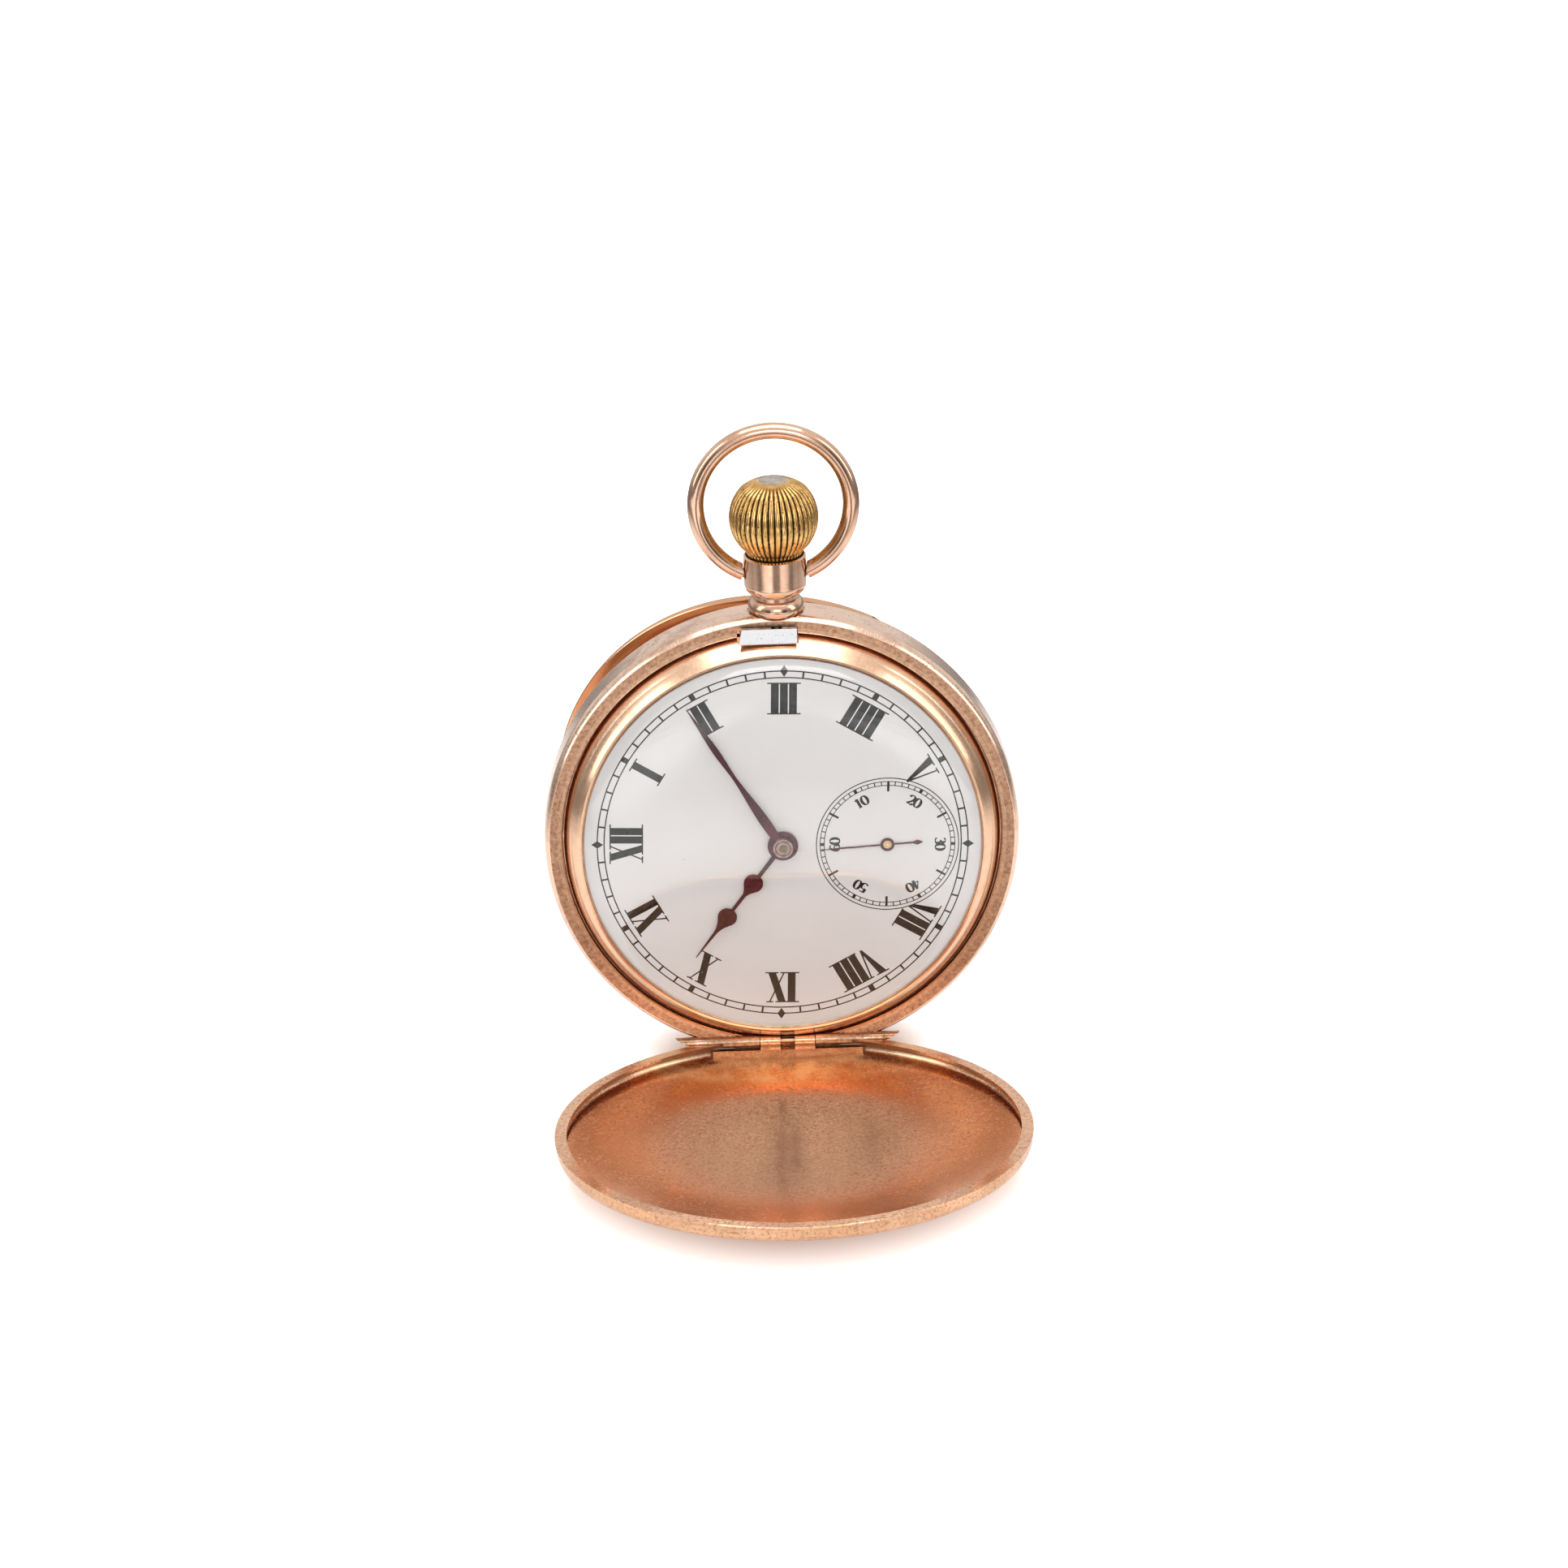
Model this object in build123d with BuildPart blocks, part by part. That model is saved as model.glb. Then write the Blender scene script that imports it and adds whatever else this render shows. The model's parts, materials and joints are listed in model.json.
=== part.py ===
"""Full hunter pocket watch, standing on its open front lid.

Frame: +Z up, X along the front hinge, the dial faces -Y. The origin is on the surface
the watch stands on, under the middle of its bounding box. All sizes in millimetres.
Inside the case, local axes are used: x right, y up to the pendant, z out of the dial.
"""
from build123d import *
import os
from math import sin, cos, radians, degrees, hypot, acos, atan2, sqrt, pi

# ---------------------------------------------------------------- stance
lean = 7.926                  # degrees the case leans back
dial_y, dial_z = 15.805, 25.599   # dial centre: behind the origin, above the surface
lid_open = 88.2               # front lid, from closed
back_open = 12.6              # back cover, from closed
dial_turn = -1.78             # dial and sub-dial turned in the case

# ---------------------------------------------------------------- case
band_r = 25.0
front_seat = -1.28            # plane of the front ledge
rear_seat = -6.6              # plane of the rear ledge
channel_r = 21.9              # bore that holds the springs and the movement
stem_z = -3.9                 # depth of the winding stem behind the dial
lid_r, lid_depth = 24.73, 5.2
back_r, back_depth = 24.38, 5.2
wall = 0.42
front_hinge_y = 23.25         # hinge axis below the dial centre
hinge_half = 11.2
back_hinge_x = 22.6
back_hinge_half = 8.0
back_hinge_dir = 43.0         # degrees up from the right
knuckle_r, pin_r, fit = 0.62, 0.28, 0.03

# ---------------------------------------------------------------- dial side
dial_r, dial_dome = 21.2, 0.15
opening_r = 20.8
sub_offset = 10.99            # sub-dial centre from the dial centre
minute_dir, hour_dir, second_dir = 121.6, -127.2, 183.0

# ---------------------------------------------------------------- pendant, bow, crown
pendant_r = 3.25
bow_centre, bow_r, wire_r = 36.4, 8.05, 0.865
bow_pivot = 29.0
crown_base, crown_top, crown_r = 30.85, 39.1, 4.65
crown_mid = 35.04             # height of the crown's widest point
crown_ribs = 42
push = 0.5                    # travel of the crown that opens the lid

# ---------------------------------------------------------------- movement
plate_r = 20.4
plate_front, plate_rear = -0.9, -2.6
bridge_front, bridge_rear = -5.3, -6.5
barrel_teeth, centre_leaves, barrel_m = 80, 10, 0.2
centre_teeth, third_leaves, centre_m = 80, 10, 0.17
third_teeth, fourth_leaves, third_m = 75, 10, 0.145
fourth_teeth, escape_leaves, fourth_m = 80, 8, 0.12
escape_teeth, escape_r = 15, 3.6
cannon_leaves, minute_teeth, cannon_m = 12, 36, 0.13
hour_teeth, minute_leaves = 40, 10
ratchet_teeth, crown_teeth, ratchet_m = 62, 39, 0.2
balance_r = 6.1

case = Plane(origin=(0, dial_y, dial_z), x_dir=(1, 0, 0),
             z_dir=(0, -cos(radians(lean)), sin(radians(lean))))


def polar(r, a):
    return (r * cos(radians(a)), r * sin(radians(a)))


def at(x, y, z=0.0, base=case):
    """The same axes, moved to a local point."""
    return Plane(origin=base.from_local_coords(Vector(x, y, z)), x_dir=base.x_dir, z_dir=base.z_dir)


def turned_plane(base, angle):
    u = base.x_dir * cos(radians(angle)) + base.y_dir * sin(radians(angle))
    return Plane(origin=base.origin, x_dir=u, z_dir=base.z_dir)


def section(base):
    """Half-plane for turned profiles: x is the radius, y is along the base normal."""
    return Plane(origin=base.origin, x_dir=base.x_dir, z_dir=base.x_dir.cross(base.z_dir))


def turn(base, *points, mode=Mode.ADD):
    """Turn a closed profile of (radius, height) points about the base normal."""
    with BuildSketch(section(base)) as s:
        with BuildLine():
            Polyline(*points, close=True)
        make_face()
    revolve(s.sketch, axis=Axis(base.origin, base.z_dir), mode=mode)


def disc(base, r, z0, z1, hole=0.0, mode=Mode.ADD):
    with BuildSketch(base.offset(z0)) as s:
        Circle(r)
        if hole:
            Circle(hole, mode=Mode.SUBTRACT)
    extrude(s.sketch, amount=z1 - z0, mode=mode)


def block(base, x0, x1, y0, y1, z0, z1, mode=Mode.ADD):
    with BuildSketch(base.offset(z0)) as s:
        with Locations(((x0 + x1) / 2, (y0 + y1) / 2)):
            Rectangle(x1 - x0, y1 - y0)
    extrude(s.sketch, amount=z1 - z0, mode=mode)


def along_x(base, y, z):
    """Plane across the local x axis, for rods that lie along it."""
    return Plane(origin=base.from_local_coords(Vector(0, y, z)), x_dir=base.y_dir, z_dir=base.x_dir)


def rod_x(base, y, z, r, x0, x1, mode=Mode.ADD):
    with BuildSketch(along_x(base, y, z).offset(x0)) as s:
        Circle(r)
    extrude(s.sketch, amount=x1 - x0, mode=mode)


def arc_strip(base, r0, r1, a0, a1, z0, z1, mode=Mode.ADD):
    """Part of a ring between two directions."""
    am = (a0 + a1) / 2
    with BuildSketch(base.offset(z0)) as s:
        with BuildLine():
            ThreePointArc(polar(r1, a0), polar(r1, am), polar(r1, a1))
            Line(polar(r1, a1), polar(r0, a1))
            ThreePointArc(polar(r0, a1), polar(r0, am), polar(r0, a0))
            Line(polar(r0, a0), polar(r1, a0))
        make_face()
    extrude(s.sketch, amount=z1 - z0, mode=mode)


def save(builder, name):
    builder.part.label = name
    export_step(builder.part, "parts/" + name + ".step")
    print(name, len(builder.part.solids()), round(builder.part.volume, 2))


os.makedirs("parts", exist_ok=True)

# ================================================================ case band
pendant = Plane(origin=case.from_local_coords(Vector(0, 0, stem_z)), x_dir=case.x_dir, z_dir=case.y_dir)
hinge_side = turned_plane(case, back_hinge_dir)     # local x points at the back cover's hinge
nose_l, nose_r = -4.05, 2.05                        # width of the lid catch

with BuildPart() as case_band:
    with BuildSketch(section(case)) as s:
        with BuildLine():
            Polyline((channel_r, -7.0), (channel_r, -2.9), (20.6, -2.9), (20.6, -1.65), (21.95, -1.65),
                     (21.95, -2.52), (22.85, -2.52), (22.85, -2.1), (23.05, -2.1), (23.12, -1.42),
                     (23.2, -1.3), (23.3, -1.42), (24.5, front_seat - 0.02))
            ThreePointArc((24.5, front_seat - 0.02), (24.87, -1.75), (band_r, -2.6))
            Line((band_r, -2.6), (band_r, -5.3))
            ThreePointArc((band_r, -5.3), (24.87, -6.1), (24.45, rear_seat))
            Polyline((24.45, rear_seat), (22.7, rear_seat), (22.7, -7.0), (channel_r, -7.0))
        make_face()
    revolve(s.sketch, axis=Axis(case.origin, case.z_dir))
    # front hinge: seat for the lid's knuckles, then the case's own two long knuckles
    rod_x(case, -front_hinge_y, front_seat, knuckle_r + 0.12, -3.0, 3.0, mode=Mode.SUBTRACT)
    with BuildSketch(case.offset(front_seat - 1.2)) as s:
        Circle(25.6)
        Rectangle(60, 40, mode=Mode.SUBTRACT)
        Rectangle(6.0, 60, mode=Mode.SUBTRACT)
        with Locations((0, 30)):
            Rectangle(60, 60, mode=Mode.SUBTRACT)
    knuckle_zone = extrude(s.sketch, amount=2.4, mode=Mode.PRIVATE)
    for x0, x1 in ((-hinge_half - 1, -3.0), (3.0, hinge_half + 1)):
        with BuildSketch(along_x(case, -front_hinge_y, front_seat).offset(x0)) as s:
            Circle(knuckle_r)
        rod = extrude(s.sketch, amount=x1 - x0, mode=Mode.PRIVATE)
        add(rod & knuckle_zone)
    rod_x(case, -front_hinge_y, front_seat, pin_r + fit, -12, 12, mode=Mode.SUBTRACT)
    # rear hinge, on the side of the back cover
    rod_h = turned_plane(case, back_hinge_dir - 90)  # local y points at the hinge, x along it
    rod_x(rod_h, back_hinge_x, rear_seat, knuckle_r + 0.12, -3.1, 3.1, mode=Mode.SUBTRACT)
    for x0 in (-back_hinge_half, 3.1):
        rod_x(rod_h, back_hinge_x, rear_seat, knuckle_r, x0, x0 + back_hinge_half - 3.1)
    rod_x(rod_h, back_hinge_x, rear_seat, pin_r + fit, -10, 10, mode=Mode.SUBTRACT)
    # slot for the lid catch, tunnel for the stem and seat for the pendant
    block(case, nose_l - 0.12, nose_r + 0.12, 22.25, 23.86, -3.4, -1.0, mode=Mode.SUBTRACT)
    block(case, nose_l - 0.12, nose_r + 0.12, 20.5, 23.86, -3.4, -2.85, mode=Mode.SUBTRACT)
    disc(pendant, 2.02, 23.9, 26.0, mode=Mode.SUBTRACT)
    disc(pendant, 3.0, 24.74, 26.0, mode=Mode.SUBTRACT)
    disc(pendant, 0.75, 20.0, 26.0, mode=Mode.SUBTRACT)
    # window for the tip of the lift spring at the front hinge
    block(case, -0.7, 0.7, -23.2, -21.0, -3.6, -1.0, mode=Mode.SUBTRACT)
save(case_band, "case_band")

# ================================================================ pendant, bow, crown, stem
with BuildPart() as pendant_tube:
    with BuildSketch(section(pendant)) as s:
        with BuildLine():
            Polyline((1.5, 24.15), (2.0, 24.15), (2.0, 24.75), (2.75, 24.75))
            ThreePointArc((2.75, 24.75), (2.92, 25.45), (2.35, 26.35))
            Line((2.35, 26.35), (2.35, 26.75))
            ThreePointArc((2.35, 26.75), (3.0, 27.15), (pendant_r, 28.0))
            Polyline((pendant_r, 28.0), (pendant_r, crown_base), (3.05, crown_base + 0.15),
                     (3.05, crown_base - push - 0.2), (1.5, crown_base - push - 0.2), (1.5, 24.15))
        make_face()
    revolve(s.sketch, axis=Axis(pendant.origin, pendant.z_dir))
    with BuildSketch(Plane(origin=pendant.from_local_coords(Vector(0, 0, bow_pivot)),
                           x_dir=case.y_dir, z_dir=case.x_dir)) as s:
        Circle(0.58)
    for amount in (2.2, -2.2):
        extrude(s.sketch.moved(Location(case.x_dir * (1.75 if amount > 0 else -1.75))),
                amount=amount, mode=Mode.SUBTRACT)
save(pendant_tube, "pendant")

ring = Plane(origin=pendant.from_local_coords(Vector(0, 0, bow_centre)), x_dir=case.x_dir, z_dir=case.z_dir)
half_gap = degrees(acos((bow_centre - bow_pivot) / bow_r))
bow_end = bow_r * sin(radians(half_gap))
with BuildPart() as bow:
    with BuildLine(ring) as path:
        a0, a1 = -90 + half_gap + 1.0, 270 - half_gap - 1.0
        ThreePointArc(polar(bow_r, a0), polar(bow_r, 90), polar(bow_r, a1))
    with BuildSketch(Plane(origin=path.line @ 0, z_dir=path.line % 0)) as s:
        Circle(wire_r)
    sweep(s.sketch, path=path.line)
    # ends turned in to the two pivot pins that sit in the pendant
    for side in (1, -1):
        with BuildSketch(Plane(origin=ring.from_local_coords(
                Vector(side * 2.35, bow_pivot - bow_centre, 0)), x_dir=case.y_dir, z_dir=case.x_dir * side)) as s:
            Circle(0.5)
        extrude(s.sketch, amount=bow_end - 2.3)
    disc(pendant, pendant_r + 0.12, 26.0, 33.0, mode=Mode.SUBTRACT)
    for side in (1, -1):
        with BuildSketch(Plane(origin=ring.from_local_coords(
                Vector(side * 2.35, bow_pivot - bow_centre, 0)), x_dir=case.y_dir, z_dir=case.x_dir * side)) as s:
            Circle(0.5)
        extrude(s.sketch, amount=1.4)
save(bow, "bow")

def on_crown(r, depth, side):
    """A point of the crown's ball, or of a ball that much smaller, at a given radius."""
    return (r, crown_mid + side * sqrt((crown_r - depth)**2 - r**2))


low, high = on_crown(3.0, 0, -1), on_crown(3.4, 0, 1)
groove_low, groove_high = on_crown(2.8, 0.24, -1), on_crown(3.1, 0.24, 1)
with BuildPart() as crown:
    with BuildSketch(section(pendant)) as s:
        with BuildLine() as outline:
            Polyline((0, crown_base), (2.85, crown_base), (2.95, crown_base + 0.5), low)
            ThreePointArc(low, (crown_r, crown_mid), high)
            Spline(high, (1.55, crown_top), tangents=((-0.68, 0.73), (-0.98, 0.2)))
            Line((1.55, crown_top), (0, crown_top))
            Line((0, crown_top), (0, crown_base))
        make_face()
    revolve(s.sketch, axis=Axis(pendant.origin, pendant.z_dir))
    with BuildSketch(section(pendant)) as s:
        with BuildLine():
            ThreePointArc(groove_low, (crown_r - 0.24, crown_mid), groove_high)
            Polyline(groove_high, (2.0, 38.85), (2.4, 40.0), (5.6, 37.0), (5.6, 32.0), (3.2, 31.0), groove_low)
        make_face()
    groove = extrude(s.sketch, amount=0.1, both=True, mode=Mode.PRIVATE)
    for i in range(crown_ribs):
        add(groove.rotate(Axis(pendant.origin, pendant.z_dir), i * 360 / crown_ribs), mode=Mode.SUBTRACT)
    disc(pendant, 0.62, crown_base - 1, 37.4, mode=Mode.SUBTRACT)
    disc(pendant, 2.2, crown_base - 1, crown_base + 0.9, mode=Mode.SUBTRACT)
save(crown, "crown")

with BuildPart() as winding_stem:
    disc(pendant, 0.62, 24.2, 37.4)
    disc(pendant, 0.5, 19.0, 24.2)
    with BuildSketch(pendant.offset(13.0)) as s:
        Rectangle(0.62, 0.62)
    extrude(s.sketch, amount=6.0)
    disc(pendant, 0.95, 29.9, 30.5, hole=0.62)
save(winding_stem, "winding_stem")

with BuildPart() as pendant_sleeve:      # spring sleeve that slides in the pendant with the stem
    disc(pendant, 1.42, 25.2, 30.6, hole=1.02)
    disc(pendant, 1.42, 28.6, 29.4, hole=0.68)
save(pendant_sleeve, "pendant_sleeve")

# ================================================================ bezel and crystal
with BuildPart() as bezel:
    with BuildSketch(section(case)) as s:
        with BuildLine():
            Line((22.0, -2.5), (22.8, -2.5))
            Polyline((22.8, -2.5), (22.8, -2.06), (22.98, -2.06))
            ThreePointArc((22.98, -2.06), (22.72, -1.28), (22.2, -0.55))
            ThreePointArc((22.2, -0.55), (21.83, -0.07), (21.35, 0.40))
            Polyline((21.35, 0.40), (21.12, 0.40), (21.12, 0.1), (opening_r, 0.1), (opening_r, 0.0),
                     (21.3, 0.0), (21.35, -1.0), (22.0, -1.7), (22.0, -2.5))
        make_face()
    revolve(s.sketch, axis=Axis(case.origin, case.z_dir))
    block(case, nose_l - 0.15, nose_r + 0.15, 22.2, 24.0, -3.0, -0.55, mode=Mode.SUBTRACT)
    rod_x(case, -front_hinge_y, front_seat, knuckle_r + 0.12, -12, 12, mode=Mode.SUBTRACT)
save(bezel, "bezel")

with BuildPart() as crystal:
    with BuildSketch(section(case)) as s:
        with BuildLine():
            Line((0, 1.75), (0, 2.15))
            Spline((0, 2.15), (12, 1.85), (19.4, 1.0), (20.75, 0.52), tangents=((1, 0), (0.75, -0.66)))
            Polyline((20.75, 0.52), (21.05, 0.38), (21.05, 0.12), (20.7, 0.12))
            Spline((20.7, 0.12), (19.2, 0.68), (12, 1.46), (0, 1.75), tangents=((-0.75, 0.66), (-1, 0)))
        make_face()
    revolve(s.sketch, axis=Axis(case.origin, case.z_dir))
save(crystal, "crystal")

# ================================================================ front lid
def swing(plane, point, direction, angle):
    """A plane turned about an axis through a point."""
    ax = Axis(point, direction)
    return Plane(origin=point + (plane.origin - point).rotate(ax, angle),
                 x_dir=plane.x_dir.rotate(ax, angle), z_dir=plane.z_dir.rotate(ax, angle))


def cover_shell(base, r, depth, lip, step):
    """Shallow domed cover; its rim is on the base plane and its inside faces the base normal."""
    edge = r - step

    def dome(x, y0, y1):
        """Arc of a sphere centred on the axis, from the corner at (x, y0) to a small flat at y1."""
        ball = (x**2 + (y0 - y1)**2) / (2 * (y0 - y1))
        height = [y1 + ball - sqrt(ball**2 - q**2) for q in (x / 2, 0.8)]
        ThreePointArc((x, y0), (x / 2, height[0]), (0.8, height[1]))
        return height[1]

    with BuildSketch(section(base)) as s:
        with BuildLine():
            Polyline((r - lip, 0), (r - 0.08, 0), (r, -0.08), (r, -0.25), (edge, -0.32), (edge, -0.95))
            ThreePointArc((edge, -0.95), (edge - 0.27, -1.55), (edge - 1.0, -1.86))
            y0 = dome(edge - 1.0, -1.86, -depth)
            y1 = dome(edge - 1.1, wall - 1.86, wall - depth)
            Polyline((0.8, y0), (0, y0), (0, y1), (0.8, y1))
            ThreePointArc((edge - 1.1, wall - 1.86), (edge - 0.6, -1.25), (edge - wall, -0.9))
            Polyline((edge - wall, -0.9), (edge - wall, -0.36), (r - lip + 0.05, -0.30), (r - lip, -0.26), (r - lip, 0))
        make_face()
    revolve(s.sketch, axis=Axis(base.origin, base.z_dir))
    with BuildSketch(section(base)) as s:            # the same outline filled in, to trim what joins it
        with BuildLine():
            Polyline((0, 0), (edge, 0), (edge, -0.95))
            ThreePointArc((edge, -0.95), (edge - 0.27, -1.55), (edge - 1.0, -1.86))
            y0 = dome(edge - 1.0, -1.86, -depth)
            Polyline((0.8, y0), (0, y0), (0, 0))
        make_face()
    return revolve(s.sketch, axis=Axis(base.origin, base.z_dir), mode=Mode.PRIVATE)


def chord_wall(base, filled, half, y0, y1, top):
    """Straight wall beside the hinge, down to the dome."""
    with BuildSketch(base.offset(-6)) as s:
        with Locations((0, (y0 + y1) / 2)):
            Rectangle(2 * half, y1 - y0)
    slab = extrude(s.sketch, amount=6 + top, mode=Mode.PRIVATE)
    add(slab & filled)


hinge_point = case.from_local_coords(Vector(0, -front_hinge_y, front_seat))
lid_closed = Plane(origin=case.from_local_coords(Vector(0, 0, front_seat)), x_dir=case.x_dir, z_dir=-case.z_dir)
lid = swing(lid_closed, hinge_point, case.x_dir, lid_open)   # local y points at the hinge
with BuildPart() as front_lid:
    filled = cover_shell(lid, lid_r, lid_depth, 1.26, 0.12)
    block(lid, -7.35, 7.35, front_hinge_y - 0.8, 26, -6, 1, mode=Mode.SUBTRACT)
    block(lid, -12, 12, front_hinge_y - 0.2, 26, -6, 1, mode=Mode.SUBTRACT)
    rod_x(lid, front_hinge_y, 0, knuckle_r + 0.12, -12, 12, mode=Mode.SUBTRACT)
    chord_wall(lid, filled, 8.0, front_hinge_y - 0.85, front_hinge_y - 0.15, -0.76)
    for x0 in (-2.9, 0.78):
        block(lid, x0, x0 + 2.12, front_hinge_y - 0.5, front_hinge_y - 0.06, -1.0, -0.1)
        rod_x(lid, front_hinge_y, 0, knuckle_r, x0, x0 + 2.12)
    rod_x(lid, front_hinge_y, 0, pin_r + fit, -12, 12, mode=Mode.SUBTRACT)
save(front_lid, "front_lid")

with BuildPart() as front_hinge_pin:
    rod_x(case, -front_hinge_y, front_seat, pin_r, -10.9, 10.9)
save(front_hinge_pin, "front_hinge_pin")

# ================================================================ back cover
side = case.x_dir * cos(radians(back_hinge_dir)) + case.y_dir * sin(radians(back_hinge_dir))
back_point = case.from_local_coords(Vector(*polar(back_hinge_x, back_hinge_dir), rear_seat))
back_closed = Plane(origin=case.from_local_coords(Vector(0, 0, rear_seat)),
                    x_dir=side.cross(case.z_dir), z_dir=case.z_dir)
back = swing(back_closed, back_point, back_closed.x_dir, back_open)   # local y points at the hinge
with BuildPart() as back_cover:
    filled = cover_shell(back, back_r, back_depth, 0.95, 0.1)
    block(back, -9.3, 9.3, 21.75, 26, -6, 1, mode=Mode.SUBTRACT)
    rod_x(back, back_hinge_x, 0, knuckle_r + 0.12, -10, 10, mode=Mode.SUBTRACT)
    chord_wall(back, filled, 9.8, 21.6, 22.35, -1.28)
    block(back, -3.0, 3.0, 22.0, back_hinge_x - 0.1, -1.5, -0.45)
    rod_x(back, back_hinge_x, 0, knuckle_r, -3.0, 3.0)
    rod_x(back, back_hinge_x, 0, pin_r + fit, -10, 10, mode=Mode.SUBTRACT)
    # small lip for the thumb, opposite the hinge
    block(back, -1.6, 1.6, -back_r - 0.35, -back_r + 0.6, -0.28, -0.02)
save(back_cover, "back_cover")

with BuildPart() as back_hinge_pin:
    rod_x(rod_h, back_hinge_x, rear_seat, pin_r, -7.9, 7.9)
save(back_hinge_pin, "back_hinge_pin")

with BuildPart() as dust_cover:          # inner cover, snapped over the seat ring behind the movement
    with BuildSketch(section(case)) as s:
        with BuildLine():
            Polyline((22.72, rear_seat - 0.06), (23.02, rear_seat - 0.06), (23.02, -7.1))
            ThreePointArc((23.02, -7.1), (22.6, -7.55), (21.6, -7.75))
            Spline((21.6, -7.75), (12, -8.5), (0, -8.8), tangents=((-1, -0.1), (-1, 0)))
            Line((0, -8.8), (0, -8.5))
            Spline((0, -8.5), (12, -8.2), (21.5, -7.45), tangents=((1, 0), (1, 0.1)))
            Polyline((21.5, -7.45), (22.72, -7.05), (22.72, rear_seat - 0.06))
        make_face()
    revolve(s.sketch, axis=Axis(case.origin, case.z_dir))
    block(rod_h, -9.5, 9.5, 21.7, 24, -9, -6, mode=Mode.SUBTRACT)
save(dust_cover, "dust_cover")

# ================================================================ case springs
with BuildPart() as lock_spring:         # steel spring with the catch that holds the front lid
    arc_strip(case, 21.15, 21.75, 62, 104, -4.9, -2.95)
    block(case, -1.2, 1.2, 21.2, 23.05, -3.22, -2.95)
    block(case, nose_l + 0.2, nose_r - 0.05, 22.6, 23.05, -3.3, -0.6)
    with BuildSketch(Plane(origin=case.from_local_coords(Vector(nose_l, 0, 0)),
                           x_dir=case.y_dir, z_dir=case.x_dir)) as s:
        with BuildLine():
            Polyline((23.78, -0.78), (22.5, 0.02), (22.4, -0.03), (22.42, -0.28), (22.95, -0.82),
                     (22.95, -0.92), (23.78, -0.85), (23.78, -0.78))
        make_face()
    extrude(s.sketch, amount=nose_r - nose_l)
    with BuildSketch(case.offset(-1.2)) as s:                  # left end of the catch is cut at a slant
        with BuildLine():
            Polyline((nose_l - 1, 22.4), (nose_l, 22.4), (nose_l + 0.5, 24.2), (nose_l - 1, 24.2), close=True)
        make_face()
    extrude(s.sketch, amount=1.6, mode=Mode.SUBTRACT)
    disc(pendant, 0.85, 20.0, 22.9, mode=Mode.SUBTRACT)
save(lock_spring, "lock_spring")

with BuildPart() as lift_spring:         # flat spring that lifts the front lid when the catch lets go
    arc_strip(case, 21.2, 21.75, 222, 276, -4.9, -2.95)
    block(case, -0.45, 0.45, -22.9, -21.3, -3.4, -2.98)
    block(case, -0.45, 0.45, -23.1, -22.88, -3.4, -2.1)
save(lift_spring, "lift_spring")

# ================================================================ dial
dial_plane = turned_plane(case, dial_turn)
sub_x, sub_y = polar(sub_offset, dial_turn)
with BuildPart() as dial:
    with BuildSketch(section(case)) as s:
        with BuildLine():
            Line((0, -0.75), (0, dial_dome))
            ThreePointArc((0, dial_dome), (10.6, 0.108), (dial_r - 0.2, -0.03))
            Polyline((dial_r - 0.2, -0.03), (dial_r, -0.2), (dial_r, -0.75), (0, -0.75))
        make_face()
    revolve(s.sketch, axis=Axis(case.origin, case.z_dir))
    disc(case, 1.25, -1, 1, mode=Mode.SUBTRACT)
    disc(at(sub_x, sub_y), 0.4, -1, 1, mode=Mode.SUBTRACT)
    for a in (20, 140, 250):
        disc(at(*polar(18.2, a)), 0.45, -2.3, -0.7)
save(dial, "dial")


# ================================================================ wheels
def tooth_ring(m, n, phase, addendum, dedendum, body=0.46, tip=0.2):
    """Outline of a toothed wheel, one tooth centred on the direction 'phase' in degrees."""
    r, p = m * n / 2, 360 / n
    pts = []
    for i in range(n):
        c = phase + i * p
        for k, rr in ((-0.5 * body - 0.06, r - dedendum * m), (-0.5 * tip, r + addendum * m),
                      (0.5 * tip, r + addendum * m), (0.5 * body + 0.06, r - dedendum * m)):
            pts.append(polar(rr, c + k * p))
    return pts


def gear(base, pts, z0, z1, hole=0.0):
    with BuildSketch(base.offset(z0)) as s:
        with BuildLine():
            Polyline(*pts, close=True)
        make_face()
        if hole:
            Circle(hole, mode=Mode.SUBTRACT)
    extrude(s.sketch, amount=z1 - z0)


def spokes(base, r_out, r_in, arm, count, z0, z1):
    """Windows that leave a rim and straight arms."""
    with BuildSketch(base.offset(z0 - 0.01)) as s:
        Circle(r_out)
        Circle(r_in, mode=Mode.SUBTRACT)
        with PolarLocations(r_out / 2, count):
            Rectangle(r_out * 1.1, arm, mode=Mode.SUBTRACT)
    extrude(s.sketch, amount=z1 - z0 + 0.02, mode=Mode.SUBTRACT)


def mesh_phase(a, n_a, n_b, direction):
    """Phase of wheel b that puts its gap on wheel a's tooth, b lying in 'direction' from a."""
    return direction + 180 - 360 / n_b * ((a - direction) / (360 / n_a) + 0.5)


def bearing(p, q):
    return degrees(atan2(q[1] - p[1], q[0] - p[0]))


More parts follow.
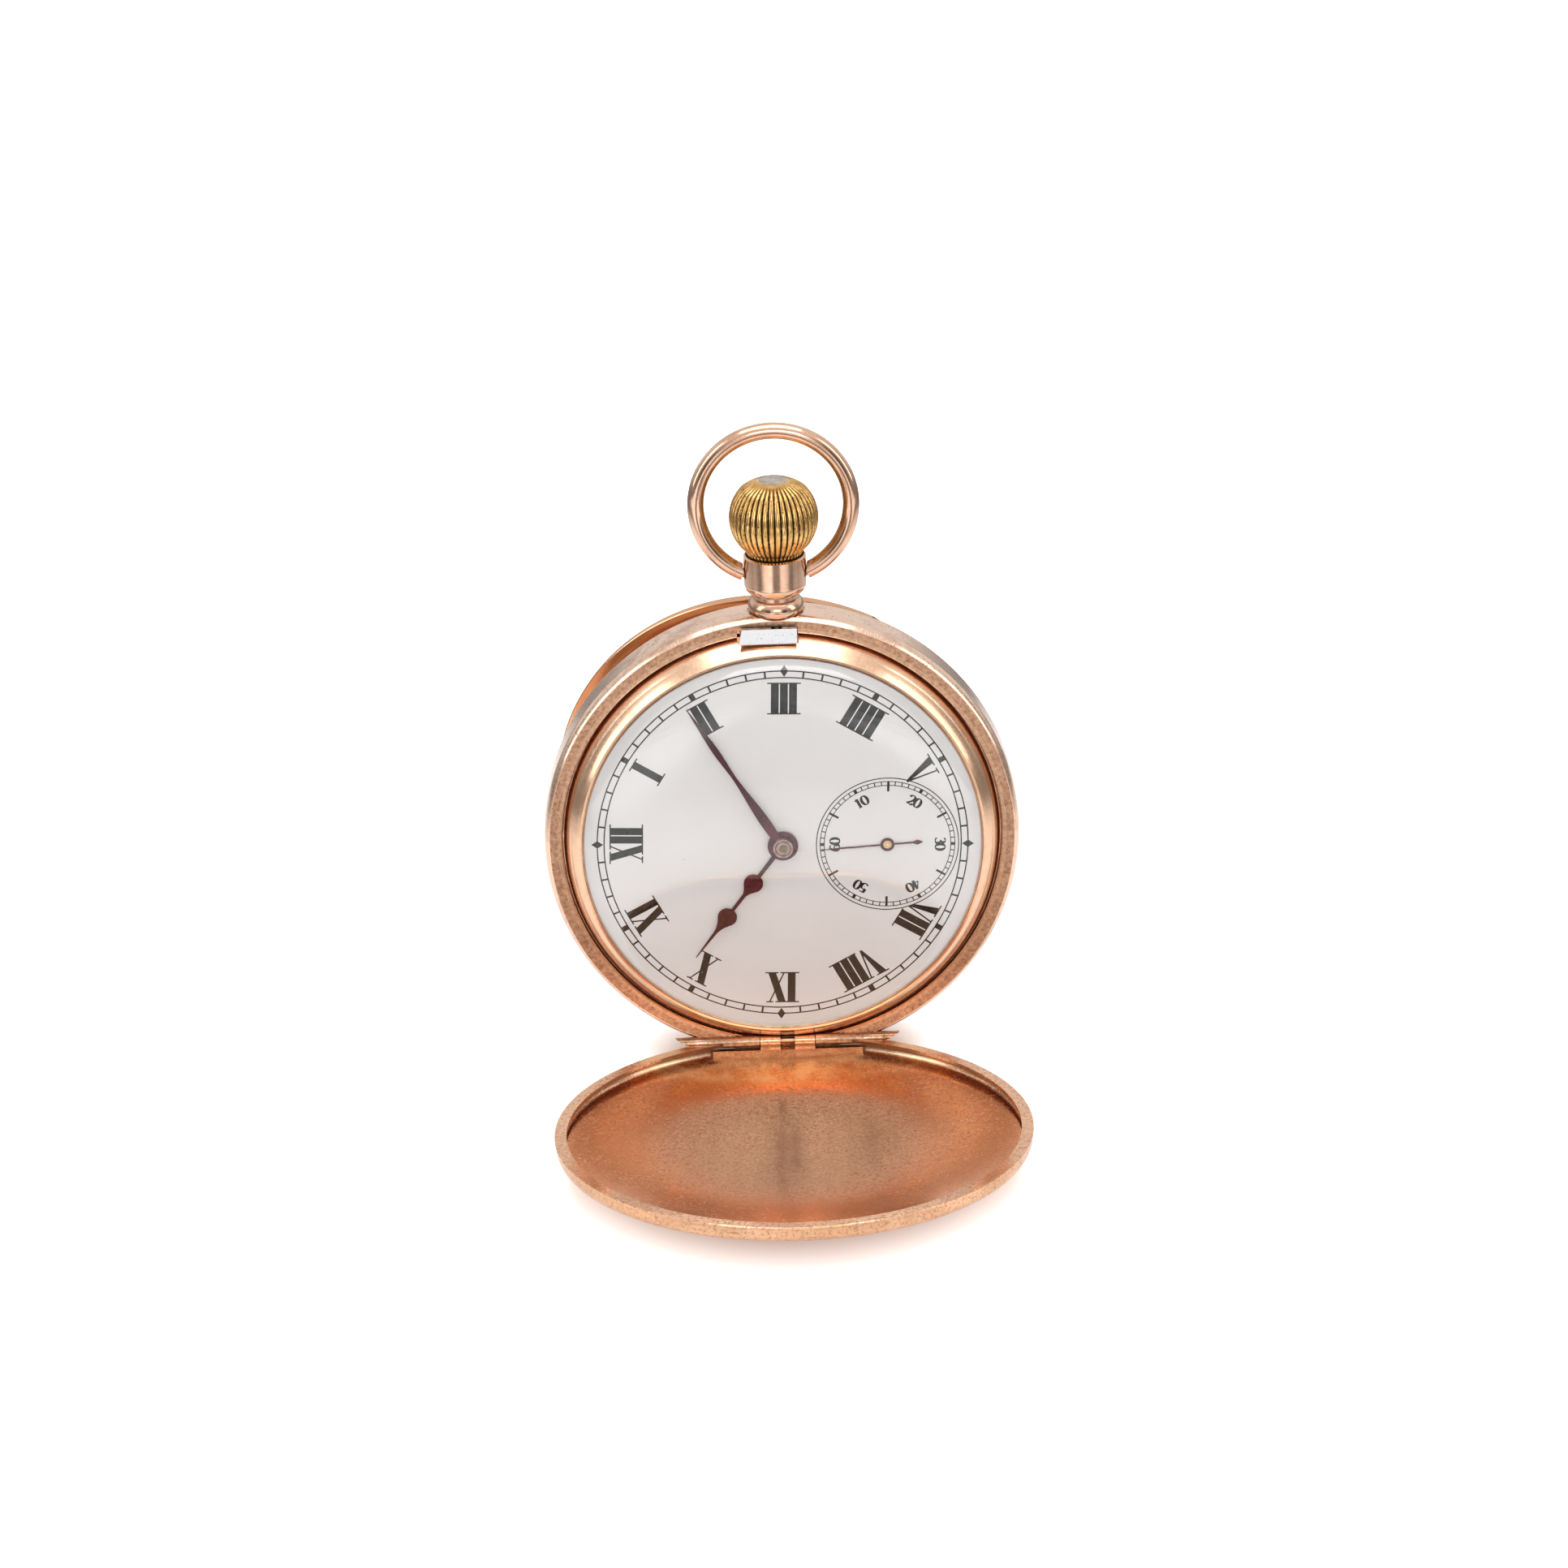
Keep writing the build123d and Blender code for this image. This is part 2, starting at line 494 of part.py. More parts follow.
centre = (0.0, 0.0)
d_barrel = (barrel_teeth + centre_leaves) * barrel_m / 2
d_third = (centre_teeth + third_leaves) * centre_m / 2
d_fourth = (third_teeth + fourth_leaves) * third_m / 2
d_escape = (fourth_teeth + escape_leaves) * fourth_m / 2
fourth = polar(sub_offset, dial_turn)
bend = degrees(acos((d_third**2 + sub_offset**2 - d_fourth**2) / (2 * d_third * sub_offset)))
third = polar(d_third, dial_turn - bend)
barrel_at = polar(d_barrel, 135)
step_e = polar(d_escape, 60)
escape = (fourth[0] + step_e[0], fourth[1] + step_e[1])
balance_at = (8.5, 11.5)
to_balance = bearing(escape, balance_at)
step_p = polar(escape_r * 1.155, to_balance)
pallet_at = (escape[0] + step_p[0], escape[1] + step_p[1])
d_winding = (ratchet_teeth + crown_teeth) * ratchet_m / 2
crown_wheel_at = (0.0, barrel_at[1] + sqrt(d_winding**2 - barrel_at[0]**2))
d_motion = (cannon_leaves + minute_teeth) * cannon_m / 2
minute_at = polar(d_motion, 200)
hour_m = 2 * d_motion / (hour_teeth + minute_leaves)

centre_phase = mesh_phase(0, barrel_teeth, centre_leaves, bearing(barrel_at, centre))
third_phase = mesh_phase(0, centre_teeth, third_leaves, bearing(centre, third))
fourth_phase = mesh_phase(0, third_teeth, fourth_leaves, bearing(third, fourth))
escape_phase = mesh_phase(0, fourth_teeth, escape_leaves, bearing(fourth, escape))
ratchet_phase = mesh_phase(0, crown_teeth, ratchet_teeth, bearing(crown_wheel_at, barrel_at))
motion_phase = mesh_phase(0, cannon_leaves, minute_teeth, bearing(centre, minute_at))
hour_phase = mesh_phase(0, minute_leaves, hour_teeth, bearing(minute_at, centre))

with BuildPart() as mainspring_barrel:
    b = at(*barrel_at)
    gear(b, tooth_ring(barrel_m, barrel_teeth, 0, 0.9, 1.3), -3.3, -2.8, hole=0.85)
    disc(b, 7.3, -4.7, -2.8, hole=0.85)
    disc(b, 6.9, -4.4, -3.1, hole=0.85, mode=Mode.SUBTRACT)
save(mainspring_barrel, "mainspring_barrel")

with BuildPart() as mainspring:          # wound strip, as a coil of nested turns
    for i in range(7):
        disc(b, 6.8 - i * 0.36, -4.3, -3.2, hole=6.8 - i * 0.36 - 0.2)
    block(b, 4.55, 6.75, -0.08, 0.08, -4.3, -3.2)
save(mainspring, "mainspring")

with BuildPart() as barrel_arbor:
    disc(b, 0.8, -6.45, -2.75)
    disc(b, 1.9, -4.3, -3.2)
    disc(b, 0.45, -2.75, -1.9)
    with BuildSketch(b.offset(-7.15)) as s:
        Rectangle(1.0, 1.0)
    extrude(s.sketch, amount=0.75)
save(barrel_arbor, "barrel_arbor")

with BuildPart() as ratchet_wheel:
    gear(b, tooth_ring(ratchet_m, ratchet_teeth, ratchet_phase, 0.8, 1.1), -7.0, -6.6)
    with BuildSketch(b.offset(-7.0)) as s:
        Rectangle(1.02, 1.02)
    extrude(s.sketch, amount=0.4, mode=Mode.SUBTRACT)
save(ratchet_wheel, "ratchet_wheel")

with BuildPart() as crown_wheel:
    gear(at(*crown_wheel_at), tooth_ring(ratchet_m, crown_teeth, 0, 0.8, 1.1), -7.0, -6.6, hole=0.85)
save(crown_wheel, "crown_wheel")

with BuildPart() as click:               # pawl that holds the ratchet wheel
    click_dir = 215
    c = at(*(barrel_at[i] + polar(ratchet_teeth * ratchet_m / 2 + 2.15, click_dir)[i] for i in (0, 1)))
    disc(c, 0.8, -6.95, -6.6, hole=0.32)
    with BuildSketch(turned_plane(c, click_dir + 150).offset(-6.95)) as s:
        with BuildLine():
            Polyline((0.5, -0.45), (2.1, 0.15), (2.15, 0.42), (0.3, 0.7), close=True)
        make_face()
    extrude(s.sketch, amount=0.35)
save(click, "click")

with BuildPart() as centre_wheel:
    gear(case, tooth_ring(centre_m, centre_teeth, 0, 0.9, 1.3), -5.05, -4.8)
    spokes(case, 5.9, 1.3, 0.8, 5, -5.05, -4.8)
    gear(case, tooth_ring(barrel_m, centre_leaves, centre_phase, 0.5, 1.2), -3.6, -2.75)
    disc(case, 0.5, -5.1, -2.7)
    disc(case, 0.3, -6.2, -5.1)
    disc(case, 0.36, -2.7, 1.42)
save(centre_wheel, "centre_wheel")

with BuildPart() as third_wheel:
    t = at(*third)
    gear(t, tooth_ring(third_m, third_teeth, 0, 0.9, 1.3), -3.65, -3.4)
    spokes(t, 4.7, 1.1, 0.7, 5, -3.65, -3.4)
    gear(t, tooth_ring(centre_m, third_leaves, third_phase, 0.5, 1.2), -5.15, -4.6)
    disc(t, 0.45, -5.2, -2.75)
    disc(t, 0.18, -6.2, -2.0)
save(third_wheel, "third_wheel")

with BuildPart() as fourth_wheel:
    f = at(*fourth)
    gear(f, tooth_ring(fourth_m, fourth_teeth, 0, 0.9, 1.3), -4.4, -4.2)
    spokes(f, 4.1, 1.0, 0.6, 5, -4.4, -4.2)
    gear(f, tooth_ring(third_m, fourth_leaves, fourth_phase, 0.5, 1.2), -3.85, -3.2)
    disc(f, 0.4, -4.9, -2.75)
    disc(f, 0.16, -6.2, 0.3)
save(fourth_wheel, "fourth_wheel")

with BuildPart() as escape_wheel:
    e = at(*escape)
    pts = []
    first = to_balance + 12
    for i in range(escape_teeth):
        c0 = first + i * 24
        pts += [polar(escape_r * 0.76, c0 - 10.5), polar(escape_r * 0.78, c0 - 3.0),
                polar(escape_r, c0 - 0.7), polar(escape_r, c0 + 0.7), polar(escape_r * 0.8, c0 + 1.5),
                polar(escape_r * 0.76, c0 + 4.5)]
    gear(e, pts, -3.5, -3.3)
    spokes(e, 2.4, 0.8, 0.5, 4, -3.5, -3.3)
    gear(e, tooth_ring(fourth_m, escape_leaves, escape_phase, 0.5, 1.2), -4.6, -4.0)
    disc(e, 0.34, -4.8, -2.8)
    disc(e, 0.14, -6.2, -2.0)
save(escape_wheel, "escape_wheel")

with BuildPart() as pallet_fork:
    p = turned_plane(at(*pallet_at), to_balance)          # local x points at the balance
    reach = hypot(balance_at[0] - pallet_at[0], balance_at[1] - pallet_at[1])
    with BuildSketch(p.offset(-3.85)) as s:
        with BuildLine():
            Polyline((-0.9, 0.0), (-1.25, 1.55), (-0.75, 1.9), (-0.1, 0.75), (reach - 1.9, 0.22),
                     (reach - 1.45, 0.6), (reach - 0.95, 0.45), (reach - 1.0, 0.2), (reach - 1.45, 0.2),
                     (reach - 1.45, -0.2), (reach - 1.0, -0.2), (reach - 0.95, -0.45), (reach - 1.45, -0.6),
                     (reach - 1.9, -0.22), (-0.1, -0.75), (-0.75, -1.9), (-1.25, -1.55), close=True)
        make_face()
    extrude(s.sketch, amount=0.22)
    disc(p, 0.3, -4.3, -2.8)
    disc(p, 0.12, -4.9, -2.0)
save(pallet_fork, "pallet_fork")

with BuildPart() as pallet_stones:       # two ruby slips set in the pallet arms
    for k in (1, -1):
        with BuildSketch(p.offset(-3.6)) as s:
            with BuildLine():
                Polyline((-1.28, k * 1.63), (-0.98, k * 1.81), (-0.95, k * 2.0), (-1.16, k * 2.03), close=True)
            make_face()
        extrude(s.sketch, amount=0.36)
save(pallet_stones, "pallet_stones")

with BuildPart() as balance_wheel:
    w = at(*balance_at)
    disc(w, balance_r, -4.55, -3.95, hole=balance_r - 0.75)
    with BuildSketch(turned_plane(w, 25).offset(-4.4)) as s:
        Rectangle(2 * balance_r - 0.8, 0.8)
        Circle(1.0)
    extrude(s.sketch, amount=0.3)
    for i in range(12):
        q = polar(balance_r - 0.1, i * 30 + 15)
        arm = turned_plane(at(q[0] + balance_at[0], q[1] + balance_at[1], -4.25), i * 30 + 15)
        with BuildSketch(Plane(origin=arm.origin, x_dir=arm.y_dir, z_dir=arm.x_dir)) as s:
            Circle(0.22)
        extrude(s.sketch, amount=0.4)
    disc(w, 0.3, -5.2, -2.8)
    disc(w, 0.12, -6.3, -2.0)
    disc(w, 1.1, -3.1, -2.85)
save(balance_wheel, "balance_wheel")

with BuildPart() as hairspring:          # fine spiral, drawn as flat turns joined to the collet
    for i in range(8):
        r = 3.4 - i * 0.34
        disc(w, r, -5.05, -4.85, hole=r - 0.09)
    block(w, 0.3, 3.4, -0.05, 0.05, -5.05, -4.85)
    disc(w, 0.55, -5.1, -4.8, hole=0.3)
save(hairspring, "hairspring")

# ================================================================ motion work and hands
with BuildPart() as cannon_pinion:
    gear(case, tooth_ring(cannon_m, cannon_leaves, 0, 0.5, 1.1), -1.8, -1.42, hole=0.38)
    disc(case, 0.6, -1.42, 1.3, hole=0.38)
save(cannon_pinion, "cannon_pinion")

with BuildPart() as minute_wheel:
    m = at(*minute_at)
    gear(m, tooth_ring(cannon_m, minute_teeth, motion_phase, 0.8, 1.2), -1.75, -1.55, hole=0.28)
    gear(m, tooth_ring(hour_m, minute_leaves, 0, 0.5, 1.15), -1.55, -1.1, hole=0.28)
save(minute_wheel, "minute_wheel")

with BuildPart() as hour_wheel:
    gear(case, tooth_ring(hour_m, hour_teeth, hour_phase, 0.8, 1.2), -1.35, -1.15, hole=0.68)
    disc(case, 0.98, -1.2, 0.62, hole=0.68)
save(hour_wheel, "hour_wheel")


def hand_plane(direction, hub_z, drop):
    """Plane whose x runs along a hand that falls by 'drop' per millimetre."""
    base = turned_plane(case, direction)
    o = case.from_local_coords(Vector(0, 0, hub_z))
    x = (base.x_dir - base.z_dir * drop).normalized()
    return Plane(origin=o, x_dir=x, z_dir=x.cross(base.y_dir))


with BuildPart() as hour_hand:
    h = hand_plane(hour_dir, 0.37, 0.0)
    with BuildSketch(h) as s:
        Circle(1.6)
        with BuildLine():
            Polyline((0.5, 0.24), (4.5, 0.2), (4.5, -0.2), (0.5, -0.24), close=True)
        make_face()
        for x0 in (5.34, 10.08):
            tail = 1.78 if x0 < 6 else 2.1
            with BuildLine():
                ThreePointArc((x0 - 0.1, 1.02), (x0 - 1.08, 0), (x0 - 0.1, -1.02))
                Spline((x0 - 0.1, -1.02), (x0 + 0.75, -0.66), (x0 + tail, -0.17), tangents=((1, 0), (1, 0.12)))
                Line((x0 + tail, -0.17), (x0 + tail, 0.17))
                Spline((x0 + tail, 0.17), (x0 + 0.75, 0.66), (x0 - 0.1, 1.02), tangents=((-1, 0.12), (-1, 0)))
            make_face()
        with BuildLine():
            Polyline((6.9, 0.2), (9.3, 0.17), (9.3, -0.17), (6.9, -0.2), close=True)
        make_face()
        with BuildLine():
            Polyline((12.0, 0.18), (15.64, 0.04), (15.64, -0.04), (12.0, -0.18), close=True)
        make_face()
    extrude(s.sketch, amount=0.11)
    disc(case, 1.6, 0.37, 0.6)
    disc(case, 0.99, 0.3, 0.7, mode=Mode.SUBTRACT)
save(hour_hand, "hour_hand")

with BuildPart() as minute_hand:
    h = hand_plane(minute_dir, 0.96, 0.0245)
    with BuildSketch(h) as s:
        with BuildLine():
            Spline((0.6, 0.38), (2.4, 0.52), (4.8, 0.49), (7.4, 0.30), (9.5, 0.21), (12.4, 0.34), (15.4, 0.22),
                   (18.35, 0.03))
            Line((18.35, 0.03), (18.35, -0.03))
            Spline((18.35, -0.03), (15.4, -0.22), (12.4, -0.34), (9.5, -0.21), (7.4, -0.30), (4.8, -0.49),
                   (2.4, -0.52), (0.6, -0.38))
            Line((0.6, -0.38), (0.6, 0.38))
        make_face()
    extrude(s.sketch, amount=0.1)
    disc(case, 1.05, 0.85, 1.32)
    disc(case, 0.61, 0.8, 1.4, mode=Mode.SUBTRACT)
save(minute_hand, "minute_hand")

with BuildPart() as seconds_hand:
    base = turned_plane(at(sub_x, sub_y), second_dir)
    with BuildSketch(base.offset(0.19)) as s:
        Circle(0.74)
        with BuildLine():
            Polyline((0, 0.09), (7.0, 0.05), (7.0, -0.05), (0, -0.09), close=True)
        make_face()
        with BuildLine():
            Polyline((0, 0.08), (-2.7, 0.08), (-3.15, 0.27), (-3.75, 0.0), (-3.15, -0.27), (-2.7, -0.08),
                     (0, -0.08), close=True)
        make_face()
        Circle(0.17, mode=Mode.SUBTRACT)
    extrude(s.sketch, amount=0.08)
save(seconds_hand, "seconds_hand")

# ================================================================ plates and bridges
pivots = {"centre": (centre, 0.42), "third": (third, 0.24), "fourth": (fourth, 0.24), "escape": (escape, 0.22),
          "pallet": (pallet_at, 0.2), "balance": (balance_at, 0.2), "barrel": (barrel_at, 0.52)}
with BuildPart() as main_plate:
    disc(case, plate_r, plate_rear, plate_front)
    disc(case, 21.1, -1.6, plate_front)
    disc(case, 4.2, -1.95, plate_front + 0.1, mode=Mode.SUBTRACT)
    disc(at(*minute_at), 2.9, -1.95, plate_front + 0.1, mode=Mode.SUBTRACT)
    disc(at(*minute_at), 0.25, -2.0, -1.15)
    for name, (xy, r) in pivots.items():
        disc(at(*xy), r, -3.5, 0, mode=Mode.SUBTRACT)
    for a in (20, 140, 250):
        disc(at(*polar(18.2, a)), 0.48, -3, 0, mode=Mode.SUBTRACT)
    disc(at(*balance_at), 1.35, -3.0, -2.2, mode=Mode.SUBTRACT)
save(main_plate, "main_plate")

split_line = [(-21, -3.4), (-2.3, -3.4), (-2.3, 2.6), (2.6, 4.4), (2.6, 8.2), (1.9, 21)]
with BuildPart() as barrel_bridge:
    with BuildSketch(case.offset(bridge_rear)) as s:
        Circle(plate_r - 0.1)
        with BuildLine():
            Polyline(*split_line, (-21, 21), close=True)
        make_face(mode=Mode.INTERSECT)
    extrude(s.sketch, amount=bridge_front - bridge_rear)
    with BuildSketch(case.offset(bridge_front)) as s:
        Circle(plate_r - 0.1)
        Circle(17.9, mode=Mode.SUBTRACT)
        with BuildLine():
            Polyline((-21, -3.4), (-14, -3.4), (-3.2, 16.5), (-3.2, 21), (-21, 21), close=True)
        make_face(mode=Mode.INTERSECT)
    extrude(s.sketch, amount=plate_rear - bridge_front)
    disc(b, 0.85, -7, -5, mode=Mode.SUBTRACT)
    block(case, -1.4, 1.4, 16.0, 18.4, -5.9, -5.2, mode=Mode.SUBTRACT)
save(barrel_bridge, "barrel_bridge")

cock_foot = (16.9, 8.6)
with BuildPart() as train_bridge:
    with BuildSketch(case.offset(bridge_rear)) as s:
        Circle(plate_r - 0.1)
        with BuildLine():
            Polyline((-21, -3.7), (-2.0, -3.7), (-2.0, 2.4), (2.9, 4.2), (2.9, 21), (21, 21), (21, -21), (-21, -21),
                     close=True)
        make_face(mode=Mode.INTERSECT)
        with Locations(balance_at):
            Circle(balance_r + 0.75, mode=Mode.SUBTRACT)
        with BuildLine():
            Polyline((8, 14.2), (12.5, 8.2), (15.2, 6.5), (21, 5.2), (21, 21), (2.6, 21), (2.6, 8), (8, 8), close=True)
        make_face(mode=Mode.SUBTRACT)
    extrude(s.sketch, amount=bridge_front - bridge_rear)
    with BuildSketch(case.offset(bridge_front)) as s:
        Circle(plate_r - 0.1)
        Circle(16.9, mode=Mode.SUBTRACT)
        with BuildLine():
            Polyline((-21, -3.7), (-12, -3.7), (0, -14), (21, -14), (21, -21), (-21, -21), close=True)
        make_face(mode=Mode.INTERSECT)
    extrude(s.sketch, amount=plate_rear - bridge_front)
    for xy in (centre, third, fourth, escape):
        disc(at(*xy), 0.75, -7, -5, mode=Mode.SUBTRACT)
save(train_bridge, "train_bridge")

with BuildPart() as balance_cock:
    lay = bearing(cock_foot, balance_at)
    span = hypot(cock_foot[0] - balance_at[0], cock_foot[1] - balance_at[1])
    with BuildSketch(turned_plane(at(*cock_foot), lay).offset(bridge_rear)) as s:
        Circle(1.7)
        with Locations((span, 0)):
            Circle(1.8)
        with Locations((span / 2, 0)):
            Rectangle(span, 2.6)
    extrude(s.sketch, amount=bridge_front - bridge_rear - 0.1)
    disc(at(*cock_foot), 1.5, bridge_front - 0.2, plate_rear)
    disc(w, 0.75, -7, -5, mode=Mode.SUBTRACT)
save(balance_cock, "balance_cock")

with BuildPart() as pallet_bridge:
    q = turned_plane(at(*pallet_at), to_balance + 90)
    with BuildSketch(q.offset(-4.95)) as s:
        Circle(0.8)
        with Locations((2.2, -0.0)):
            Rectangle(4.4, 1.3)
        with Locations((4.0, 0)):
            Circle(0.9)
        Circle(0.2, mode=Mode.SUBTRACT)
    extrude(s.sketch, amount=0.35)
save(pallet_bridge, "pallet_bridge")

with BuildPart() as regulator:           # index over the balance cock
    with BuildSketch(turned_plane(w, 150).offset(bridge_rear - 0.3)) as s:
        Circle(1.25)
        with BuildLine():
            Polyline((1.0, 0.4), (3.9, 0.1), (3.9, -0.1), (1.0, -0.4), close=True)
        make_face()
        Circle(0.78, mode=Mode.SUBTRACT)
    extrude(s.sketch, amount=0.25)
save(regulator, "regulator")

with BuildPart() as jewels:              # pierced rubies that carry the pivots in the bridges
    for xy, r in ((centre, 0.34), (third, 0.21), (fourth, 0.19), (escape, 0.17), (balance_at, 0.15)):
        disc(at(*xy), 0.74, -6.55, -6.05, hole=r)
save(jewels, "jewels")

with BuildPart() as bridge_screws:
    spots = [polar(19.1, 118), polar(19.1, 178), polar(18.9, 222), polar(18.9, 285), polar(18.9, 318), cock_foot]
    for xy in spots:
        s_at = at(*xy)
        disc(s_at, 0.85, -7.0, -6.52)
        block(s_at, -0.85, 0.85, -0.11, 0.11, -7.05, -6.82, mode=Mode.SUBTRACT)
save(bridge_screws, "bridge_screws")

def slotted(base, r, z0, z1):
    disc(base, r, z0, z1)
    block(base, -r, r, -0.12, 0.12, z0 - 0.05, z0 + 0.13, mode=Mode.SUBTRACT)


with BuildPart() as ratchet_screw:
    slotted(b, 1.5, -7.42, -7.16)
save(ratchet_screw, "ratchet_screw")

with BuildPart() as wheel_screws:        # screws of the crown wheel and the click
    slotted(at(*crown_wheel_at), 1.3, -7.4, -7.06)
    disc(at(*crown_wheel_at), 0.78, -7.06, -6.5)
    slotted(c, 0.62, -7.3, -7.0)
    disc(c, 0.28, -7.0, -6.5)
save(wheel_screws, "wheel_screws")

with BuildPart() as winding_pinion:
    wp = Plane(origin=pendant.origin, x_dir=pendant.x_dir, z_dir=pendant.z_dir)
    for z0, z1, n, m_ in ((16.2, 18.2, 16, 0.13), (13.3, 15.7, 14, 0.13)):
        with BuildSketch(wp.offset(z0)) as s:
            with BuildLine():
                Polyline(*tooth_ring(m_, n, 0, 0.8, 1.0), close=True)
            make_face()
            Rectangle(0.72, 0.72, mode=Mode.SUBTRACT)
        extrude(s.sketch, amount=z1 - z0)
    with BuildSketch(wp.offset(15.7)) as s:
        Circle(0.7)
        Rectangle(0.72, 0.72, mode=Mode.SUBTRACT)
    extrude(s.sketch, amount=0.5)
save(winding_pinion, "winding_pinion")

print("third", third, "escape", escape, "pallet", pallet_at, "crown wheel", crown_wheel_at, "to_balance", to_balance)
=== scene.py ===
"""Looks of the full hunter pocket watch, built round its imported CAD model."""
import json
import math

import bpy
from mathutils import Matrix, Vector


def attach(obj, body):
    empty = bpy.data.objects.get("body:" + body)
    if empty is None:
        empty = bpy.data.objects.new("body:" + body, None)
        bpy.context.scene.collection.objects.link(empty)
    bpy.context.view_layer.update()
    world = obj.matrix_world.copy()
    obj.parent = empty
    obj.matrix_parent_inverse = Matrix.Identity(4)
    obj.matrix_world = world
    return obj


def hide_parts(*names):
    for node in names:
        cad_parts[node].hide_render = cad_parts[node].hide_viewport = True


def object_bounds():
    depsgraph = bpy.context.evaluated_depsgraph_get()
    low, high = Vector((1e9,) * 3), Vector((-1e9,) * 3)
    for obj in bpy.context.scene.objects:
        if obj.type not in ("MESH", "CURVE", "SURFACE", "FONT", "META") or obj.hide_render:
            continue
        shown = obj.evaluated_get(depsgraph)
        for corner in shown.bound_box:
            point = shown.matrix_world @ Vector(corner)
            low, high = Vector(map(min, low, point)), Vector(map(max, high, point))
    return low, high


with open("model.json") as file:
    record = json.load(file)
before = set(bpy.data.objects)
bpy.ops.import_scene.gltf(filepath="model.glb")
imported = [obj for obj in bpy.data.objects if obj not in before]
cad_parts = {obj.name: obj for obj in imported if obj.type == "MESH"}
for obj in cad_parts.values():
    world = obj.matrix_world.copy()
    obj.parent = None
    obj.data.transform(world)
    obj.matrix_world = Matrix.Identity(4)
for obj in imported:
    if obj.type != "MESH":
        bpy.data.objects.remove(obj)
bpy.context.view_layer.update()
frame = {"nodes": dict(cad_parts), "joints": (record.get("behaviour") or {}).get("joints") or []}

MM = 0.001
nodes = frame["nodes"]
joints = {j["name"]: j for j in frame["joints"]}

# ------------------------------------------------------------------ the case's own axes
case_y = Vector(joints["crown_turn"]["axis"]).normalized()
case_z = -Vector(joints["minute_turn"]["axis"]).normalized()
case_x = case_y.cross(case_z).normalized()
minute_joint_depth = 4.0        # the hands' joint lies this far behind the dial's front
dial_centre = Vector(joints["minute_turn"]["pos_m"]) + case_z * minute_joint_depth * MM


class Axes:
    """A point and three directions; sizes along them are in millimetres."""

    def __init__(self, origin, x, y, z):
        self.o, self.x, self.y, self.z = origin, x, y, z

    def at(self, x, y, z=0.0):
        return self.o + (self.x * x + self.y * y + self.z * z) * MM

    def turned(self, degrees):
        a = math.radians(degrees)
        return Axes(self.o, self.x * math.cos(a) + self.y * math.sin(a),
                    self.y * math.cos(a) - self.x * math.sin(a), self.z)


case = Axes(dial_centre, case_x, case_y, case_z)
stem_z = -3.9                   # the stem lies this far behind the dial's front
pendant = Axes(case.at(0, 0, stem_z), case_x, -case_z, case_y)     # z runs up the stem


# ------------------------------------------------------------------ mesh helpers
def add_mesh(name, verts, faces, mat, body, smooth=True, sharp=35.0):
    """A piece that rides a body; edges sharper than sharp degrees stay crisp."""
    me = bpy.data.meshes.new(name)
    me.from_pydata([tuple(v) for v in verts], [], faces)
    me.validate()
    me.update()
    o = bpy.data.objects.new(name, me)
    bpy.context.scene.collection.objects.link(o)
    me.polygons.foreach_set("use_smooth", [smooth] * len(me.polygons))
    if smooth:
        me.set_sharp_from_angle(angle=math.radians(sharp))
    me.materials.append(mat)
    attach(o, body)
    return o


def near_angle(angle, other):
    """The angle, moved by whole turns until it is within half a turn of the other."""
    while angle - other > math.pi:
        angle -= 2 * math.pi
    while angle - other < -math.pi:
        angle += 2 * math.pi
    return angle


def through(p, q, r, n):
    """Points of the arc through three points."""
    ax, ay, bx, by, cx, cy = *p, *q, *r
    d = 2 * (ax * (by - cy) + bx * (cy - ay) + cx * (ay - by))
    ux = ((ax**2 + ay**2) * (by - cy) + (bx**2 + by**2) * (cy - ay) + (cx**2 + cy**2) * (ay - by)) / d
    uy = ((ax**2 + ay**2) * (cx - bx) + (bx**2 + by**2) * (ax - cx) + (cx**2 + cy**2) * (bx - ax)) / d
    rad = math.hypot(ax - ux, ay - uy)
    a0, a1, a2 = (math.atan2(y - uy, x - ux) for x, y in (p, q, r))
    a1 = near_angle(a1, a0)
    a2 = near_angle(a2, a1)
    return [(ux + rad * math.cos(a0 + (a2 - a0) * i / n), uy + rad * math.sin(a0 + (a2 - a0) * i / n))
            for i in range(n + 1)]


def lathe(axes, profile, n=240, closed=True, shape=None):
    """Turns a profile of (radius, height). shape(angle, radius, height) may return another radius."""
    verts, faces, m = [], [], len(profile)
    for i in range(n):
        a = 2 * math.pi * i / n
        for r, h in profile:
            rr = shape(a, r, h) if shape else r
            verts.append(axes.at(rr * math.cos(a), rr * math.sin(a), h))
    for i in range(n):
        j = (i + 1) % n
        for k in range(m if closed else m - 1):
            q = (k + 1) % m
            faces.append((i * m + k, j * m + k, j * m + q, i * m + q))
    return verts, faces


# ------------------------------------------------------------------ materials
def nodes_of(name):
    """A new material, its node tree and its shader."""
    m = bpy.data.materials.new(name)
    m.use_nodes = True
    nt = m.node_tree
    return m, nt, nt.nodes["Principled BSDF"]


def math_node(nt, op, a, b=None, clamp=False):
    """One sum; a and b are numbers or sockets."""
    n = nt.nodes.new("ShaderNodeMath")
    n.operation, n.use_clamp = op, clamp
    for i, v in enumerate((a, b)):
        if v is None:
            continue
        if isinstance(v, (int, float)):
            n.inputs[i].default_value = v
        else:
            nt.links.new(v, n.inputs[i])
    return n.outputs[0]


def times(nt, *values):
    """The product of several masks."""
    product = values[0]
    for value in values[1:]:
        product = math_node(nt, "MULTIPLY", product, value)
    return product


def distance(nt, x, y):
    return math_node(nt, "SQRT", math_node(nt, "ADD", times(nt, x, x), times(nt, y, y)))


